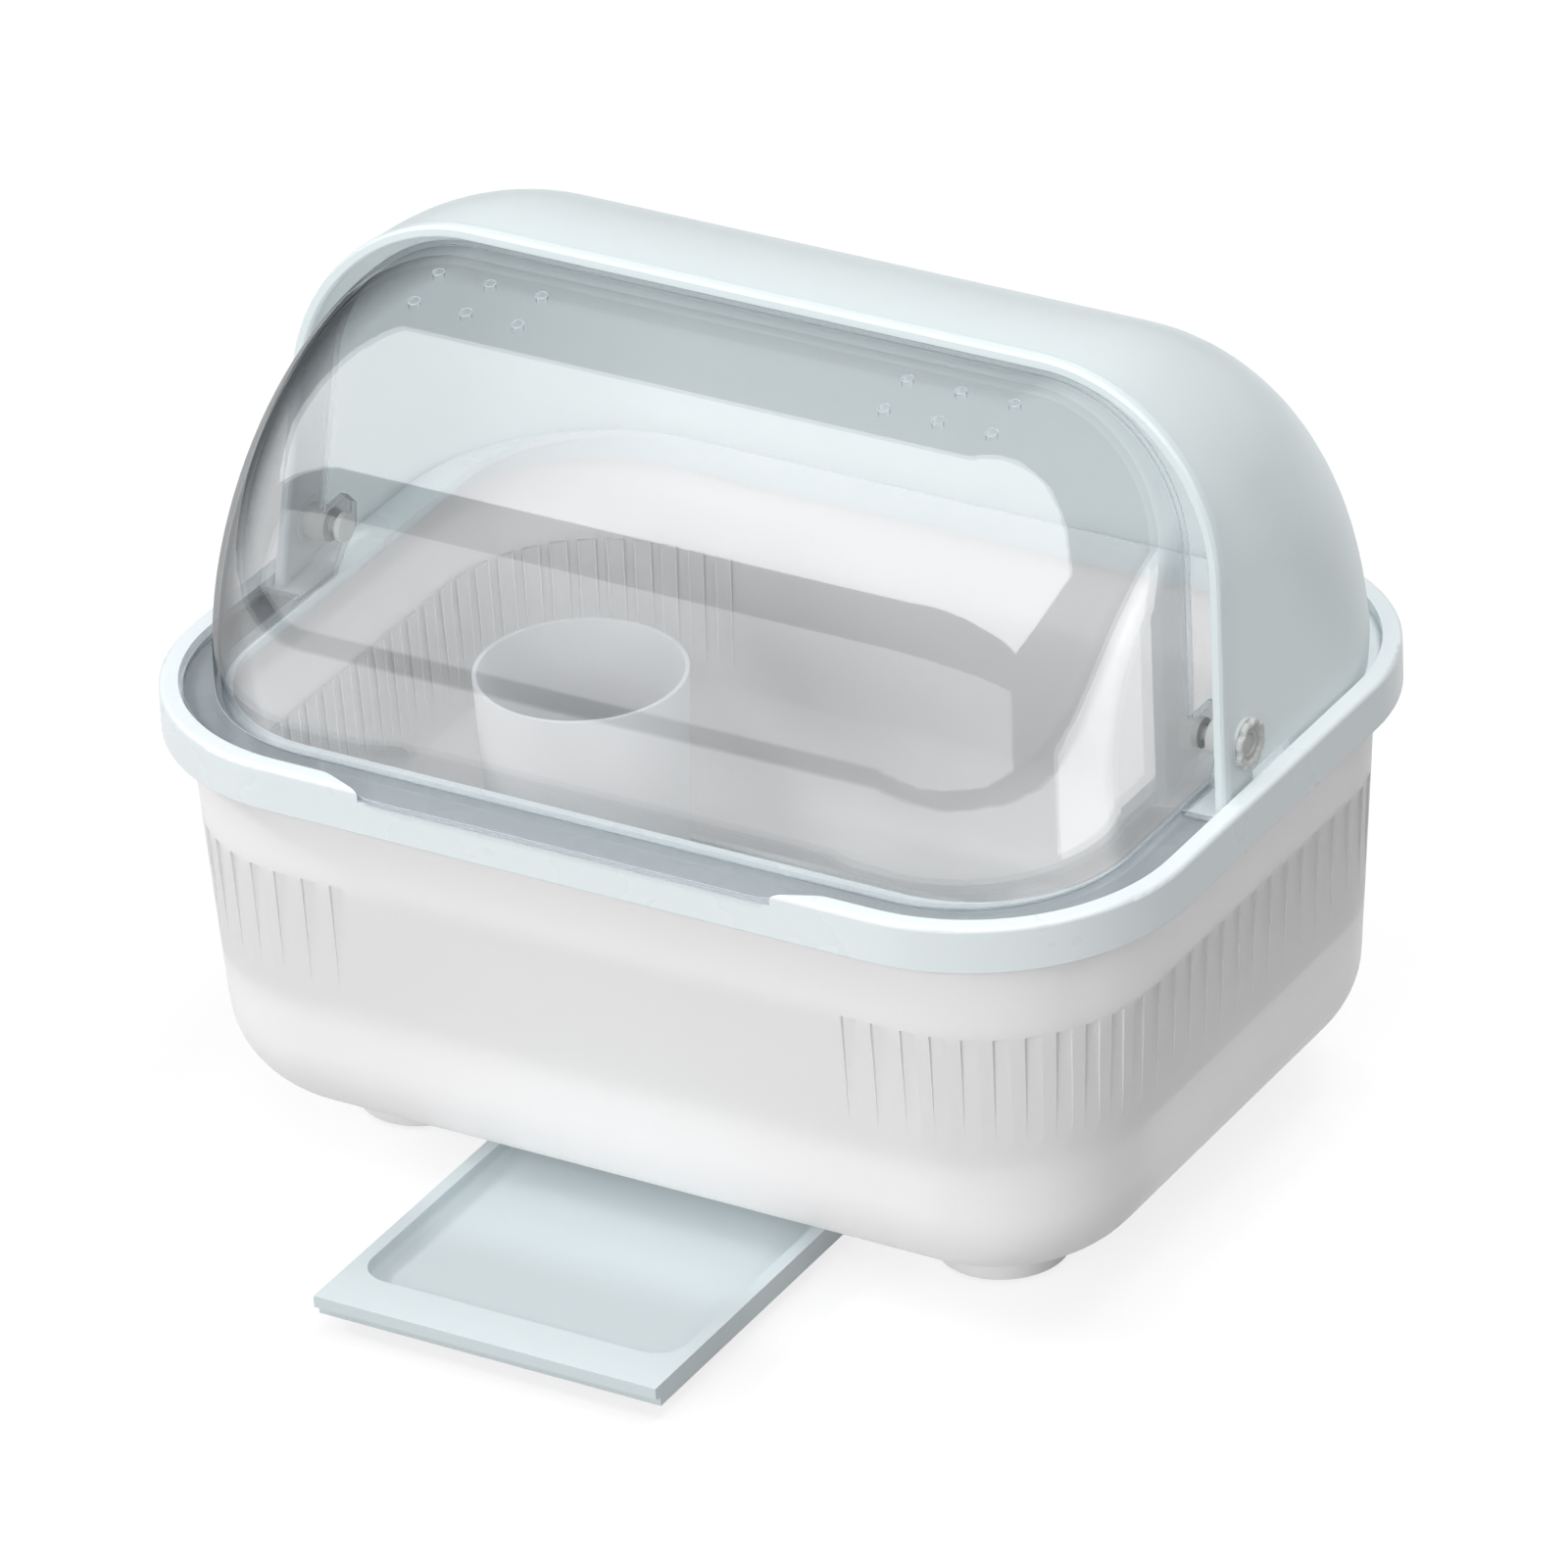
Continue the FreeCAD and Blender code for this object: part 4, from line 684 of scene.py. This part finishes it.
FLOOR_HALF = 9.0
FLOOR_LIT_RADIUS = 1.42
FLOOR_DARK = linear(130, 130, 130)
FLOOR_LIGHT = linear(134, 134, 134)
FLOOR_FAR = linear(110, 112, 114)
FLOOR_GLOW = 0.78
FLOOR_MIRRORED = 0.75
BACKDROP_SIDE = 0.2
BACKDROP_FRONT = -0.1
BACKDROP_REACH = 2.4
BACKDROP_GLOW = 1.25
CARD_SIDES = (-7.0, 6.0)
CARD_PLACE = -3.45
CARD_TOP = 2.6
CARD_LIGHT = 0.9
CARD_COOL = (0.97, 0.98, 1.0)


def single_face(name, corners, material):
    mesh = bpy.data.meshes.new(name)
    mesh.from_pydata(corners, [], [(0, 1, 2, 3)])
    mesh.materials.append(material)
    face = bpy.data.objects.new(name, mesh)
    bpy.context.scene.collection.objects.link(face)
    return face


def floor_glow(tree, reach, outside):
    """Glow seen by the camera, in reflections of the near floor, and in the lid's sharp mirror."""
    seen = math_node(tree, "MAXIMUM", ray(tree, "Is Camera Ray"), ray(tree, "Is Transmission Ray"))
    direct = product(tree, seen, math_node(tree, "MAXIMUM", outside, FLOOR_GLOW))
    inside = math_node(tree, "SUBTRACT", 1.0, outside)
    mirrored = product(tree, ray(tree, "Is Glossy Ray"), inside, FLOOR_MIRRORED)
    aside = math_node(tree, "GREATER_THAN", coordinate(tree, "X"), BACKDROP_SIDE)
    behind = math_node(tree, "GREATER_THAN", coordinate(tree, "Y"), BACKDROP_FRONT)
    near = math_node(tree, "LESS_THAN", reach, BACKDROP_REACH)
    sharp = product(tree, ray(tree, "Is Glossy Ray"), ray(tree, "Is Singular Ray"))
    backdrop = product(tree, sharp, aside, behind, near, BACKDROP_GLOW)
    return math_node(tree, "ADD", math_node(tree, "ADD", direct, mirrored), backdrop)


def make_floor():
    """Floor that shows white, keeps the object's shadow, and is dark in mirrors past the lit disc."""
    material, tree = bare_material("floor")
    place = tree.nodes.new("ShaderNodeTexCoord")
    length = tree.nodes.new("ShaderNodeVectorMath")
    length.operation = "LENGTH"
    tree.links.new(place.outputs["Object"], length.inputs[0])
    reach = length.outputs["Value"]
    outside = math_node(tree, "GREATER_THAN", reach, FLOOR_LIT_RADIUS)
    tone = tinted(tree, noise(tree, 1.2, 2.0), FLOOR_DARK, FLOOR_LIGHT)
    diffuse = tree.nodes.new("ShaderNodeBsdfDiffuse")
    tree.links.new(colour_mix(tree, outside, tone, FLOOR_FAR), diffuse.inputs["Color"])
    glow = tree.nodes.new("ShaderNodeEmission")
    tree.links.new(floor_glow(tree, reach, outside), glow.inputs["Strength"])
    both = tree.nodes.new("ShaderNodeAddShader")
    tree.links.new(diffuse.outputs["BSDF"], both.inputs[0])
    tree.links.new(glow.outputs["Emission"], both.inputs[1])
    show(tree, both.outputs["Shader"])
    half = FLOOR_HALF
    corners = [(-half, -half, 0), (half, -half, 0), (half, half, 0), (-half, half, 0)]
    floor = single_face("floor", corners, material)


def make_card():
    """Pale card in front that only shows as a reflection."""
    material, tree = bare_material("card")
    glow = tree.nodes.new("ShaderNodeEmission")
    tree.links.new(tinted(tree, noise(tree, 0.5), CARD_COOL, WHITE), glow.inputs["Color"])
    glow.inputs["Strength"].default_value = CARD_LIGHT
    clear = see_through(tree, WHITE)
    show(tree, shader_mix(tree, ray(tree, "Is Glossy Ray"), clear, glow.outputs["Emission"]))
    left, right = CARD_SIDES
    y = CARD_PLACE
    corners = [(left, y, 0), (right, y, 0), (right, y, CARD_TOP), (left, y, CARD_TOP)]
    card = single_face("card", corners, material)
    card.visible_shadow = False
    card.visible_diffuse = False


# World and lamps

WORLD_TINT = (0.96, 0.98, 1.0)
WORLD_LIGHT = 0.23
OBJECT_MIDDLE = (0.0, 0.0, 0.16)

# Name, place, target, width and height, watts and colour
LAMPS = (
    ("strip", (-1.5, -0.55, 2.0), (-1.5, -0.55, 0.0), (9.0, 1.9), 88.0, WHITE),
    ("over", (0.2, -0.35, 2.05), (0.2, -0.35, 0.0), (5.2, 1.9), 25.0, WHITE),
    ("front", (-0.2, -3.2, 1.1), OBJECT_MIDDLE, (2.3, 2.0), 57.0, WHITE),
    ("key", (-2.6, -0.9, 2.0), OBJECT_MIDDLE, (0.45, 0.45), 33.0, (1.0, 0.99, 0.98)),
    ("above", (0.55, 0.8, 2.6), (0.05, 0.05, 0.2), (1.0, 1.0), 29.0, WHITE),
    ("low", (0.3, -2.8, 0.3), (0.05, -0.1, 0.05), (0.8, 0.35), 5.0, WHITE),
    ("side", (2.4, -1.4, 1.2), OBJECT_MIDDLE, (0.9, 0.9), 9.5, WHITE),
    ("rear", (-0.3, 3.0, 1.3), OBJECT_MIDDLE, (1.8, 1.8), 15.0, WHITE),
)


def background(tree, colour, strength):
    node = tree.nodes.new("ShaderNodeBackground")
    feed(tree, colour, node.inputs["Color"])
    node.inputs["Strength"].default_value = strength
    return node.outputs["Background"]


def make_world():
    """Soft light all round, which the camera sees as white."""
    world = bpy.data.worlds.new("world")
    bpy.context.scene.world = world
    world.use_nodes = True
    tree = world.node_tree
    tree.nodes.clear()
    plain = background(tree, WORLD_TINT, WORLD_LIGHT)
    white = background(tree, WHITE, 1.0)
    output = tree.nodes.new("ShaderNodeOutputWorld")
    tree.links.new(shader_mix(tree, ray(tree, "Is Camera Ray"), plain, white), output.inputs["Surface"])


def make_lamps():
    """The strip shows only as a reflection; every other lamp lights and isn't mirrored."""
    for name, place, target, (width, height), watts, colour in LAMPS:
        data = bpy.data.lights.new(name, "AREA")
        data.energy = watts
        data.color = colour
        data.shape = "RECTANGLE"
        data.size = width
        data.size_y = height
        lamp = bpy.data.objects.new(name, data)
        bpy.context.scene.collection.objects.link(lamp)
        lamp.location = place
        lamp.rotation_mode = "QUATERNION"
        lamp.rotation_quaternion = (Vector(target) - Vector(place)).to_track_quat("-Z", "Y")
        lamp.visible_camera = False
        lamp.visible_diffuse = name != "strip"
        lamp.visible_glossy = name == "strip"


make_camera()
dress_nodes()
for side_sign, side_name in ((-1, "left"), (1, "right")):
    make_cap(side_sign, side_name)
make_lid_edges()
make_rib_crests()
make_floor()
make_card()
make_world()
make_lamps()

bpy.context.scene.view_settings.view_transform = "Standard"
